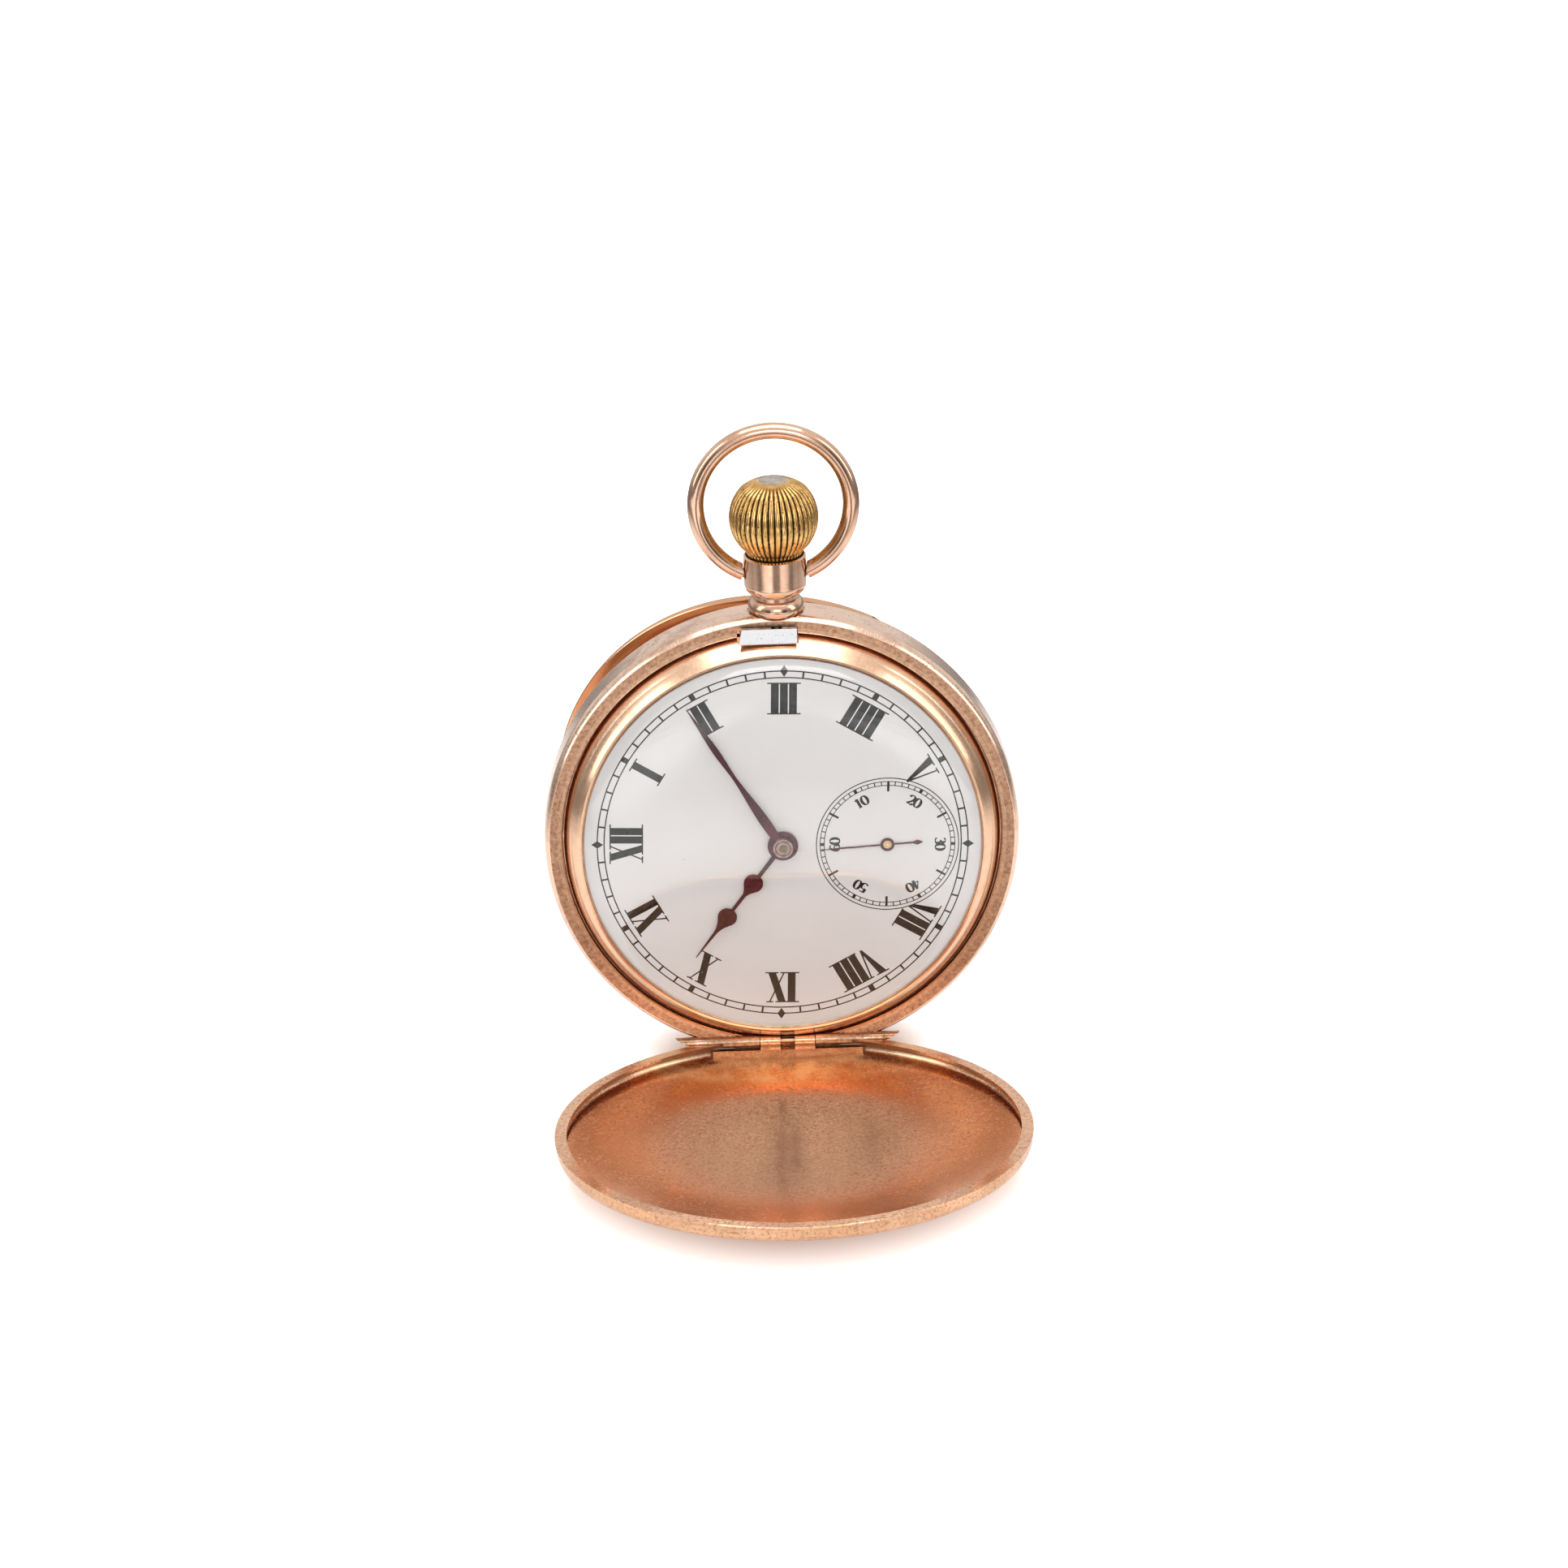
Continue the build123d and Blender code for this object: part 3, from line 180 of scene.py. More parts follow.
def noise(nt, scale, detail=3.0, rough=0.55, stretch=None, offset=(0, 0, 0)):
    """Noise fixed to the surface, drawn out along some axes by stretch."""
    tc = nt.nodes.new("ShaderNodeTexCoord")
    mp = nt.nodes.new("ShaderNodeMapping")
    mp.inputs["Scale"].default_value = stretch or (1, 1, 1)
    mp.inputs["Location"].default_value = offset
    nt.links.new(tc.outputs["Object"], mp.inputs["Vector"])
    n = nt.nodes.new("ShaderNodeTexNoise")
    n.inputs["Scale"].default_value = scale
    n.inputs["Detail"].default_value = detail
    n.inputs["Roughness"].default_value = rough
    nt.links.new(mp.outputs["Vector"], n.inputs["Vector"])
    return n.outputs["Fac"]


def spots(nt, scale, size, offset=(0, 0, 0)):
    """Round specks: 1 inside, 0 outside."""
    tc = nt.nodes.new("ShaderNodeTexCoord")
    mp = nt.nodes.new("ShaderNodeMapping")
    mp.inputs["Location"].default_value = offset
    nt.links.new(tc.outputs["Object"], mp.inputs["Vector"])
    v = nt.nodes.new("ShaderNodeTexVoronoi")
    v.inputs["Scale"].default_value = scale
    nt.links.new(mp.outputs["Vector"], v.inputs["Vector"])
    return ramp(nt, v.outputs["Distance"], size * 0.6, size, 1, 0)


def ramp(nt, fac, lo, hi, a=0.0, b=1.0):
    """Runs from a to b while fac runs from lo to hi."""
    n = nt.nodes.new("ShaderNodeMapRange")
    n.clamp = True
    for key, v in (("From Min", lo), ("From Max", hi), ("To Min", a), ("To Max", b)):
        n.inputs[key].default_value = v
    nt.links.new(fac, n.inputs["Value"])
    return n.outputs["Result"]


def mix(nt, fac, a, b):
    """Blends two colours, each a tuple or a socket."""
    n = nt.nodes.new("ShaderNodeMix")
    n.data_type = "RGBA"
    for sock, v in ((n.inputs["Factor"], fac), (n.inputs["A"], a), (n.inputs["B"], b)):
        if isinstance(v, (int, float)):
            sock.default_value = v
        elif isinstance(v, tuple):
            sock.default_value = (*v, 1.0)
        else:
            nt.links.new(v, sock)
    return n.outputs["Result"]


def along(nt, axis):
    """Distance in millimetres from the dial centre along one of the case's axes."""
    tc = nt.nodes.new("ShaderNodeTexCoord")
    sub = nt.nodes.new("ShaderNodeVectorMath")
    sub.operation = "SUBTRACT"
    sub.inputs[1].default_value = dial_centre
    nt.links.new(tc.outputs["Object"], sub.inputs[0])
    dot = nt.nodes.new("ShaderNodeVectorMath")
    dot.operation = "DOT_PRODUCT"
    dot.inputs[1].default_value = axis * 1000
    nt.links.new(sub.outputs[0], dot.inputs[0])
    return dot.outputs["Value"]


def radius(nt):
    """Distance in millimetres from the axis of the case."""
    return distance(nt, along(nt, case_x), along(nt, case_y))


def radius_from(nt, point):
    """Distance in millimetres from an axis through a point, square to the dial."""
    d = (point - dial_centre) / MM
    return distance(nt, math_node(nt, "SUBTRACT", along(nt, case_x), d.dot(case_x)),
                    math_node(nt, "SUBTRACT", along(nt, case_y), d.dot(case_y)))


def between(nt, value, lo, hi, soft):
    """1 between two values, falling to 0 on both sides."""
    return times(nt, ramp(nt, value, lo - soft, lo), ramp(nt, value, hi, hi + soft, 1, 0))


def facing(nt, direction):
    """1 where the surface faced a direction in the rest pose."""
    tc = nt.nodes.new("ShaderNodeTexCoord")
    dot = nt.nodes.new("ShaderNodeVectorMath")
    dot.operation = "DOT_PRODUCT"
    dot.inputs[1].default_value = direction
    nt.links.new(tc.outputs["Normal"], dot.inputs[0])
    return ramp(nt, dot.outputs["Value"], 0.05, 0.15)


def crevice(nt, reach):
    """1 in the open, falling to 0 where surfaces meet within reach in metres."""
    ao = nt.nodes.new("ShaderNodeAmbientOcclusion")
    ao.inputs["Distance"].default_value = reach
    ao.samples = 8
    return ao.outputs["AO"]


def bump(nt, bsdf, height, depth, strength=1.0):
    """Raises the surface by a height mask; depth is in millimetres."""
    n = nt.nodes.new("ShaderNodeBump")
    n.inputs["Strength"].default_value = strength
    n.inputs["Distance"].default_value = depth * MM
    nt.links.new(height, n.inputs["Height"])
    nt.links.new(n.outputs["Normal"], bsdf.inputs["Normal"])


def metal(name, light, dark, rough=(0.12, 0.3), grain=900.0, grain_depth=0.006, cloud=260.0,
          cloud_bias=(0.35, 0.7), dirt_and_shade=(0.10, 0.06, 0.04), dirt_and_shade_reach=0.0008, dirt_and_shade_amount=0.8, pits=0.0,
          pit_scale=2600.0, pit_size=0.2, scratches=0.0, edge=0.0, seed=0.0):
    """Metal with cloudy tone, grain, scratches, pits, and darkening where surfaces meet that is partly grime
    and partly painted shade.
    """
    m, nt, bsdf = nodes_of(name)
    bsdf.inputs["Metallic"].default_value = 1.0
    off = (seed, seed * 0.7, -seed)
    big = ramp(nt, noise(nt, cloud, 4, 0.6, offset=off), *cloud_bias)
    fine = noise(nt, grain, 3, 0.6, offset=off)
    colour = mix(nt, big, light, dark)
    colour = mix(nt, ramp(nt, fine, 0.55, 0.8, 0, 0.45), colour, dark)
    height = fine
    if pits:
        rare = ramp(nt, noise(nt, cloud * 1.7, 2, 0.5, offset=(seed + 3, 0, 0)), 0.5, 0.62)
        pit = times(nt, spots(nt, pit_scale, pit_size, off), rare)
        colour = mix(nt, times(nt, pit, pits), colour, dirt_and_shade)
        height = math_node(nt, "SUBTRACT", height, times(nt, pit, 0.8))
    if scratches:
        for k, stretch in enumerate(((1, 16, 3), (14, 1, 2))):
            line = ramp(nt, noise(nt, 1400, 2, 0.5, stretch, offset=(seed + k, 0, 0)), 0.62, 0.7)
            height = math_node(nt, "SUBTRACT", height, times(nt, line, scratches))
    if edge:
        geo = nt.nodes.new("ShaderNodeNewGeometry")
        worn = ramp(nt, geo.outputs["Pointiness"], 0.52, 0.58, 0, edge)
        colour = mix(nt, worn, colour, tuple(min(1.0, c * 1.12) for c in light))
    # painted shade with grime: an ambient occlusion mask darkens and dulls the metal where surfaces meet
    grime_and_shade = times(nt, ramp(nt, crevice(nt, dirt_and_shade_reach), 0.35, 0.95, dirt_and_shade_amount, 0),
                  ramp(nt, noise(nt, cloud * 3, 3, 0.6, offset=off), 0.3, 0.6, 0.45, 1))
    nt.links.new(mix(nt, grime_and_shade, colour, dirt_and_shade), bsdf.inputs["Base Color"])
    dull = math_node(nt, "ADD", ramp(nt, big, 0, 1, *rough), times(nt, grime_and_shade, 0.35), clamp=True)
    nt.links.new(dull, bsdf.inputs["Roughness"])
    bump(nt, bsdf, height, grain_depth)
    return m


def rework(m, mask, colour, rough):
    """Mixes another colour and roughness into a metal where mask is 1."""
    nt = m.node_tree
    bsdf = nt.nodes["Principled BSDF"]
    old = bsdf.inputs["Base Color"].links[0].from_socket
    old_rough = bsdf.inputs["Roughness"].links[0].from_socket
    amount = mask(nt)
    nt.links.new(mix(nt, amount, old, colour(nt) if callable(colour) else colour), bsdf.inputs["Base Color"])
    n = nt.nodes.new("ShaderNodeMix")
    nt.links.new(amount, n.inputs["Factor"])
    nt.links.new(old_rough, n.inputs["A"])
    n.inputs["B"].default_value = rough
    nt.links.new(n.outputs["Result"], bsdf.inputs["Roughness"])


def stipple(light, dark, scale, seed=0.0):
    """A worn, speckled tone."""
    def make(nt):
        fine = ramp(nt, noise(nt, scale, 4, 0.75, offset=(seed, 0, seed)), 0.38, 0.66)
        return mix(nt, fine, light, dark)
    return make


# ------------------------------------------------------------------ gold
HINGE_Y = -22.9                 # the hinge rods lie below this
LEDGE = (23.2, 24.42)           # inner and outer radius of the ledge round the bezel
RIDGES = (23.22, 23.62)         # where fine turned ridges lie on the ledge
LEDGE_Z = -1.7                  # height of the ledge
LID_R = 23.24                   # from the lid's hinge to its middle
RIBS = 42                       # ribs round the crown


def band_metal():
    """The case band: darker and speckled at its hinge, dull at the upper left, speckled on its ledge."""
    m = metal("gold_band", (0.87, 0.61, 0.46), (0.56, 0.34, 0.235), rough=(0.13, 0.3), cloud_bias=(0.5, 0.85),
              grain_depth=0.012, scratches=0.3, edge=0.35, pits=0.7, pit_scale=2300, pit_size=0.28, seed=2,
              dirt_and_shade=(0.34, 0.14, 0.06), dirt_and_shade_reach=0.0004, dirt_and_shade_amount=0.5)

    # darkens the band in speckles below the hinge line
    def hinge(nt):
        low = ramp(nt, along(nt, case_y), HINGE_Y, HINGE_Y + 0.4, 1, 0)
        return times(nt, low, ramp(nt, noise(nt, 420, 4, 0.6, offset=(3, 1, 2)), 0.35, 0.6, 0.35, 0.95))

    def upper_left(nt):
        side = between(nt, along(nt, case_x), -19.0, -9.0, 3.0)
        high = ramp(nt, along(nt, case_y), 8, 14)
        return times(nt, side, high, ramp(nt, noise(nt, 700, 5, 0.7, offset=(9, 0, 2)), 0.45, 0.62, 0, 0.35))

    def front(nt, most):
        return ramp(nt, along(nt, case_z), LEDGE_Z, LEDGE_Z + 0.2, 0, most)

    def ledge(nt):
        return times(nt, between(nt, radius(nt), *LEDGE, 0.06), front(nt, 0.95))

    def ridges(nt):
        waves = ramp(nt, math_node(nt, "SINE", times(nt, radius(nt), 48.0)), 0.0, 0.9)
        return times(nt, between(nt, radius(nt), *RIDGES, 0.03), waves, front(nt, 0.7))

    rework(m, hinge, stipple((0.60, 0.30, 0.14), (0.07, 0.03, 0.015), 1500, 1.0), 0.32)
    rework(m, upper_left, (0.30, 0.18, 0.12), 0.3)
    rework(m, ledge, stipple((0.66, 0.40, 0.26), (0.30, 0.15, 0.085), 2400, 2.0), 0.38)
    rework(m, ridges, (0.86, 0.60, 0.40), 0.25)
    return m


def lid_metal():
    """The front lid: redder inside, speckled by wear, brassy near its hinge."""
    m = metal("gold_lid", (0.84, 0.49, 0.30), (0.66, 0.35, 0.19), rough=(0.09, 0.18), cloud_bias=(0.35, 0.75),
              grain=2600, grain_depth=0.007, scratches=0.1, edge=0.5, pits=0.4, pit_scale=3300, pit_size=0.3,
              seed=4, dirt_and_shade=(0.20, 0.10, 0.05), dirt_and_shade_reach=0.0012, dirt_and_shade_amount=0.7)
    lid_centre = Vector(joints["lid_hinge"]["pos_m"]) + case_z * LID_R * MM

    def from_lid_axis(nt):
        z = math_node(nt, "SUBTRACT", along(nt, case_z), (lid_centre - dial_centre).dot(case_z) / MM)
        return distance(nt, along(nt, case_x), z)

    def inside(nt):
        return times(nt, ramp(nt, from_lid_axis(nt), 22.6, 23.3, 1, 0), facing(nt, case_y),
                     ramp(nt, noise(nt, 150, 4, 0.6, offset=(2, 2, 2)), 0.3, 0.7, 0.55, 0.95))

    def dark_specks(nt):
        return ramp(nt, noise(nt, 3000, 3, 0.7, offset=(7, 0, 1)), 0.5, 0.62, 0, 0.8)

    def brassy(nt):
        return times(nt, facing(nt, case_y), between(nt, along(nt, case_z), 0.6, 3.2, 1.3),
                     ramp(nt, noise(nt, 420, 4, 0.6, offset=(1, 5, 1)), 0.35, 0.6, 0.1, 0.75))

    def light_specks(nt):
        return times(nt, facing(nt, case_y), ramp(nt, from_lid_axis(nt), 9.0, 19.0, 0.35, 1.0),
                     ramp(nt, noise(nt, 2900, 3, 0.75, offset=(4, 4, 0)), 0.54, 0.66, 0, 0.75),
                     ramp(nt, noise(nt, 130, 3, 0.6, offset=(8, 4, 0)), 0.38, 0.6, 0.25, 1.0))

    rework(m, inside, (0.69, 0.36, 0.20), 0.12)
    rework(m, dark_specks, (0.50, 0.25, 0.14), 0.3)
    rework(m, brassy, (0.93, 0.76, 0.48), 0.36)
    rework(m, light_specks, (0.95, 0.72, 0.58), 0.35)
    return m


def crown_metal():
    """The gilt crown, darker along its grooves."""
    m = metal("crown_gilt", (0.90, 0.575, 0.21), (0.58, 0.32, 0.10), rough=(0.12, 0.3), cloud=700,
              cloud_bias=(0.35, 0.7), dirt_and_shade=(0.05, 0.025, 0.01), dirt_and_shade_reach=0.0004, dirt_and_shade_amount=0.9,
              pits=0.9, pit_scale=2600, pit_size=0.3, grain_depth=0.012, edge=0.3, seed=3)

    # darkens the crown to near black along the middle of each groove between the ribs
    def grooves(nt):
        round_stem = math_node(nt, "ARCTAN2", math_node(nt, "SUBTRACT", stem_z, along(nt, case_z)),
                               along(nt, case_x))
        wave = math_node(nt, "ABSOLUTE", math_node(nt, "COSINE", times(nt, round_stem, RIBS / 2)))
        wave = math_node(nt, "ADD", wave, ramp(nt, noise(nt, 2600, 4, 0.7), 0.3, 0.7, -0.28, 0.28))
        below_cap = ramp(nt, along(nt, case_y), 38.7, 38.95, 1, 0)
        return times(nt, ramp(nt, wave, 0.22, 0.62, 0.92, 0), below_cap)

    rework(m, grooves, (0.085, 0.045, 0.016), 0.5)
    return m


gold = metal("gold_polished", (0.88, 0.57, 0.385), (0.66, 0.36, 0.215), rough=(0.17, 0.27),
             cloud_bias=(0.45, 0.85), grain_depth=0.006, scratches=0.25, edge=0.3, pits=0.35,
             dirt_and_shade=(0.36, 0.15, 0.06), dirt_and_shade_reach=0.0004, dirt_and_shade_amount=0.5)
gold_band = band_metal()
gold_lid = lid_metal()
gold_back = metal("gold_back", (0.78, 0.43, 0.24), (0.66, 0.34, 0.175), rough=(0.12, 0.22),
                  cloud_bias=(0.3, 0.9), seed=6, edge=0.3)
gold_inner = metal("gold_inner", (0.82, 0.52, 0.33), (0.70, 0.41, 0.24), rough=(0.14, 0.24),
                   cloud_bias=(0.3, 0.9), seed=8)
# the bow's gold is a darker copy of the polished gold: its own tone, plus painted shade standing in for the
# dark reflections the bow shows
gold_bow = metal("gold_bow", (0.82, 0.52, 0.365), (0.58, 0.33, 0.215), rough=(0.09, 0.2), seed=5,
                 scratches=0.3, grain_depth=0.004, cloud_bias=(0.45, 0.8), dirt_and_shade=(0.16, 0.07, 0.04))
crown_gold = crown_metal()
crown_cap = metal("crown_cap", (0.62, 0.55, 0.49), (0.42, 0.35, 0.29), rough=(0.25, 0.45), cloud=1200, seed=9)

# ------------------------------------------------------------------ steel and brass
steel = metal("steel_bright", (0.93, 0.93, 0.95), (0.70, 0.70, 0.72), rough=(0.24, 0.42), cloud=900,
              cloud_bias=(0.4, 0.75), pits=0.8, pit_scale=4200, pit_size=0.3, grain=2600, grain_depth=0.008,
              dirt_and_shade=(0.16, 0.12, 0.10), dirt_and_shade_reach=0.0003, dirt_and_shade_amount=0.5, seed=7)
steel_work = metal("steel_work", (0.62, 0.63, 0.66), (0.44, 0.45, 0.48), rough=(0.15, 0.3), cloud=600,
                   seed=12)
blue = metal("steel_blue", (0.06, 0.09, 0.30), (0.03, 0.04, 0.14), rough=(0.12, 0.25), cloud=900, seed=13)
boss_steel = metal("steel_boss", (0.66, 0.56, 0.52), (0.36, 0.27, 0.25), rough=(0.2, 0.4), cloud=1500,
                   cloud_bias=(0.35, 0.65), dirt_and_shade=(0.12, 0.06, 0.05), dirt_and_shade_reach=0.0004, dirt_and_shade_amount=0.9,
                   seed=15)
plate = metal("plate_gilt", (0.86, 0.66, 0.34), (0.66, 0.46, 0.2), rough=(0.25, 0.42), grain=3200,
              grain_depth=0.02, cloud=300, seed=16)
wheel = metal("wheel_brass", (0.88, 0.66, 0.30), (0.62, 0.44, 0.17), rough=(0.15, 0.3), cloud=500, seed=17)


def hand_metal(name, seed):
    """Steel tempered to a dark purple brown."""
    return metal(name, (0.15, 0.036, 0.050), (0.055, 0.014, 0.021), rough=(0.16, 0.34), cloud=700,
                 cloud_bias=(0.3, 0.7), grain=2500, grain_depth=0.01, dirt_and_shade_amount=0.3, dirt_and_shade_reach=0.0003,
                 seed=seed)


def minute_hand_metal():
    """The minute hand: a worn bright boss with a dark ring."""
    m = hand_metal("steel_hand_minute", 15)
    rework(m, lambda nt: ramp(nt, radius(nt), 1.06, 1.09, 1, 0),
           stipple((0.62, 0.50, 0.45), (0.30, 0.20, 0.17), 2200, 1.0), 0.3)
    rework(m, lambda nt: between(nt, radius(nt), 0.74, 0.82, 0.03), (0.14, 0.06, 0.06), 0.4)
    return m


def seconds_hand_metal():
    """The seconds hand: a brass hub with a dark pivot."""
    m = hand_metal("steel_hand_seconds", 16)
    pivot = Vector(joints["seconds_turn"]["pos_m"])
    rework(m, lambda nt: ramp(nt, radius_from(nt, pivot), 0.42, 0.46, 1, 0), (0.78, 0.55, 0.30), 0.3)
    rework(m, lambda nt: ramp(nt, radius_from(nt, pivot), 0.12, 0.16, 1, 0), (0.03, 0.02, 0.02), 0.5)
    return m


hand_steel = hand_metal("steel_hand", 14)
minute_steel = minute_hand_metal()
seconds_steel = seconds_hand_metal()


# ------------------------------------------------------------------ enamel, ink, glass and ruby
def enamel_material():
    m, nt, bsdf = nodes_of("enamel_white")
    tone = ramp(nt, noise(nt, 90, 3, 0.5), 0.3, 0.7)
    colour = mix(nt, tone, (0.83, 0.80, 0.795), (0.80, 0.77, 0.765))
    rare = ramp(nt, noise(nt, 330, 2, 0.5, offset=(2, 1, 0)), 0.52, 0.6)
    speck = times(nt, spots(nt, 520, 0.055, (0.3, 0, 0)), rare, 0.55)
    colour = mix(nt, speck, colour, (0.36, 0.30, 0.26))
    rub = ramp(nt, noise(nt, 700, 2, 0.5, stretch=(1, 9, 3), offset=(4, 0, 2)), 0.74, 0.78, 0, 0.25)
    nt.links.new(mix(nt, rub, colour, (0.70, 0.64, 0.50)), bsdf.inputs["Base Color"])
    dull = ramp(nt, noise(nt, 240, 2, 0.5, offset=(1, 1, 1)), 0.3, 0.7, 0.06, 0.13)
    nt.links.new(dull, bsdf.inputs["Roughness"])
    bsdf.inputs["Specular IOR Level"].default_value = 0.55
    bump(nt, bsdf, noise(nt, 160, 2, 0.5), 0.01, 0.5)
    return m


def ink_material():
    m, nt, bsdf = nodes_of("ink_black")
    rare = ramp(nt, noise(nt, 900, 2, 0.5, offset=(5, 1, 0)), 0.55, 0.65)
    dust = times(nt, spots(nt, 2600, 0.22, (0.1, 0, 0)), rare, 0.55)
    tone = ramp(nt, noise(nt, 1400, 2, 0.5), 0.3, 0.8)
    colour = mix(nt, tone, (0.008, 0.0075, 0.0075), (0.018, 0.016, 0.015))
    nt.links.new(mix(nt, dust, colour, (0.55, 0.53, 0.5)), bsdf.inputs["Base Color"])
    nt.links.new(ramp(nt, noise(nt, 1200, 2, 0.5), 0.3, 0.7, 0.25, 0.45), bsdf.inputs["Roughness"])
    bsdf.inputs["Specular IOR Level"].default_value = 0.12
    bump(nt, bsdf, noise(nt, 2200, 2, 0.5), 0.004, 0.4)
    return m


def glass_material():
    """Clear glass that casts no shadow."""
    m, nt, bsdf = nodes_of("crystal_clear")
    bsdf.inputs["Base Color"].default_value = (0.985, 0.99, 0.985, 1)
    bsdf.inputs["Transmission Weight"].default_value = 1.0
    bsdf.inputs["IOR"].default_value = 1.5
    nt.links.new(ramp(nt, noise(nt, 420, 3, 0.5), 0.4, 0.8, 0.0, 0.018), bsdf.inputs["Roughness"])
    bump(nt, bsdf, noise(nt, 900, 2, 0.5), 0.004, 0.15)
    clear = nt.nodes.new("ShaderNodeBsdfTransparent")
    path = nt.nodes.new("ShaderNodeLightPath")
    both = nt.nodes.new("ShaderNodeMixShader")
    nt.links.new(path.outputs["Is Shadow Ray"], both.inputs[0])
    nt.links.new(bsdf.outputs[0], both.inputs[1])
    nt.links.new(clear.outputs[0], both.inputs[2])
    nt.links.new(both.outputs[0], nt.nodes["Material Output"].inputs["Surface"])
    return m


def ruby_material():
    m, nt, bsdf = nodes_of("ruby_red")
    tone = ramp(nt, noise(nt, 2500, 2, 0.5), 0.3, 0.7)
    nt.links.new(mix(nt, tone, (0.42, 0.02, 0.06), (0.28, 0.01, 0.04)), bsdf.inputs["Base Color"])
    nt.links.new(ramp(nt, noise(nt, 1500, 2, 0.5), 0.3, 0.7, 0.05, 0.12), bsdf.inputs["Roughness"])
    bsdf.inputs["Coat Weight"].default_value = 0.6
    return m


enamel, ink, glass, ruby = enamel_material(), ink_material(), glass_material(), ruby_material()

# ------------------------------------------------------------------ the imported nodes
NODE_SHARP = 28                 # degrees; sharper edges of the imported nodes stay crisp
looks = {"case_band": gold_band, "pendant": gold_bow, "bow": gold_bow, "bezel": gold, "front_lid": gold_lid,
         "back_cover": gold_back, "dust_cover": gold_inner, "front_hinge_pin": gold_inner,
         "back_hinge_pin": gold_inner, "crown": crown_gold, "dial": enamel, "crystal": glass,
         "hour_hand": hand_steel, "minute_hand": minute_steel, "seconds_hand": seconds_steel,
         "lock_spring": steel, "jewels": ruby, "pallet_stones": ruby, "hairspring": blue,
         "bridge_screws": blue, "ratchet_screw": blue, "wheel_screws": blue, "cannon_pinion": boss_steel}
for n in ("main_plate", "barrel_bridge", "train_bridge", "balance_cock", "pallet_bridge"):
    looks[n] = plate
for n in ("mainspring_barrel", "centre_wheel", "third_wheel", "fourth_wheel", "hour_wheel", "minute_wheel",
          "balance_wheel"):
    looks[n] = wheel
for name, o in nodes.items():
    o.data.materials.clear()
    o.data.materials.append(looks.get(name, steel_work))
    o.data.polygons.foreach_set("use_smooth", [True] * len(o.data.polygons))
    o.data.set_sharp_from_angle(angle=math.radians(NODE_SHARP))

# ------------------------------------------------------------------ dial
HOLE_R, DIAL_R, EDGE_R = 1.25, 21.2, 21.0       # the dial's centre hole, its rim, and where its dome ends
EDGE_H, BACK_H = -0.03, -0.7                    # heights of the dome's edge and of the dial's back
TRACK = 19.45                                   # outer radius of the minute track
TRACK_IN = 0.963 * TRACK
LIFT = 0.006                                    # how far the print stands above the enamel
dial_arc = through((0.0, 0.15), (10.6, 0.108), (EDGE_R, EDGE_H), 60)
dial_axes = case.turned(-1.78)                  # the print is turned a little in the case


def dial_height(r):
    """Height of the enamel at a radius."""
    for (r0, h0), (r1, h1) in zip(dial_arc[:-1], dial_arc[1:]):
        if r <= r1:
            return h0 + (h1 - h0) * (r - r0) / (r1 - r0)
    return dial_arc[-1][1]


dome = [(r, h) for r, h in dial_arc if r > HOLE_R][:-1]
verts, faces = lathe(case, [(HOLE_R, BACK_H)] + dome + [(EDGE_R, EDGE_H), (21.17, -0.1), (DIAL_R, -0.24),
                                                        (DIAL_R, BACK_H)], n=256)
dial = add_mesh("dial_enamel", verts, faces, enamel, "case")
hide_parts("dial")

ink_verts, ink_faces = [], []


def put(points, centre=(0.0, 0.0)):
    """Adds one flat printed polygon; points are (x, y) on the dial in millimetres."""
    k = len(ink_verts)
    for x, y in points:
        x, y = x + centre[0], y + centre[1]
        ink_verts.append(dial_axes.at(x, y, dial_height(math.hypot(x, y)) + LIFT))
    ink_faces.append(tuple(range(k, k + len(points))))


def ring(r, width, centre=(0.0, 0.0), n=240):
    """Adds a printed circle."""
    k = len(ink_verts)
    for i in range(n):
        a = 2 * math.pi * i / n
        for rr in (r - width / 2, r + width / 2):
            x, y = centre[0] + rr * math.cos(a), centre[1] + rr * math.sin(a)
            ink_verts.append(dial_axes.at(x, y, dial_height(math.hypot(x, y)) + LIFT))
    for i in range(n):
        j = (i + 1) % n
        ink_faces.append((k + 2 * i, k + 2 * i + 1, k + 2 * j + 1, k + 2 * j))


def radial(direction, points, centre=(0.0, 0.0)):
    """Adds a polygon; points are (clockwise offset, radius) about a direction in degrees."""
    a = math.radians(direction)
    ux, uy = math.cos(a), math.sin(a)
    put([(ux * r + uy * t, uy * r - ux * t) for t, r in points], centre)


def bar(direction, r0, r1, width, centre=(0.0, 0.0)):
    """Adds a straight mark between two radii."""
    radial(direction, [(-width / 2, r0), (width / 2, r0), (width / 2, r1), (-width / 2, r1)], centre)


def minute_track():
    """Two circles with a mark each minute, wider each five, and a diamond each quarter."""
    line, mark, wide_mark = 0.135, 0.2, 0.58
    half_w, half_h = 0.0215 * TRACK, 0.0325 * TRACK
    ring(TRACK, line)
    ring(TRACK_IN, line)
    for i in range(60):
        d = i * 6
        if i % 15 == 0:
            radial(d, [(-half_w, TRACK), (0, TRACK - half_h), (half_w, TRACK), (0, TRACK + half_h)])
        else:
            bar(d, TRACK_IN, TRACK, wide_mark if i % 5 == 0 else mark)


HAIR = 0.0072                   # thickness of a serif, in units of the track's radius


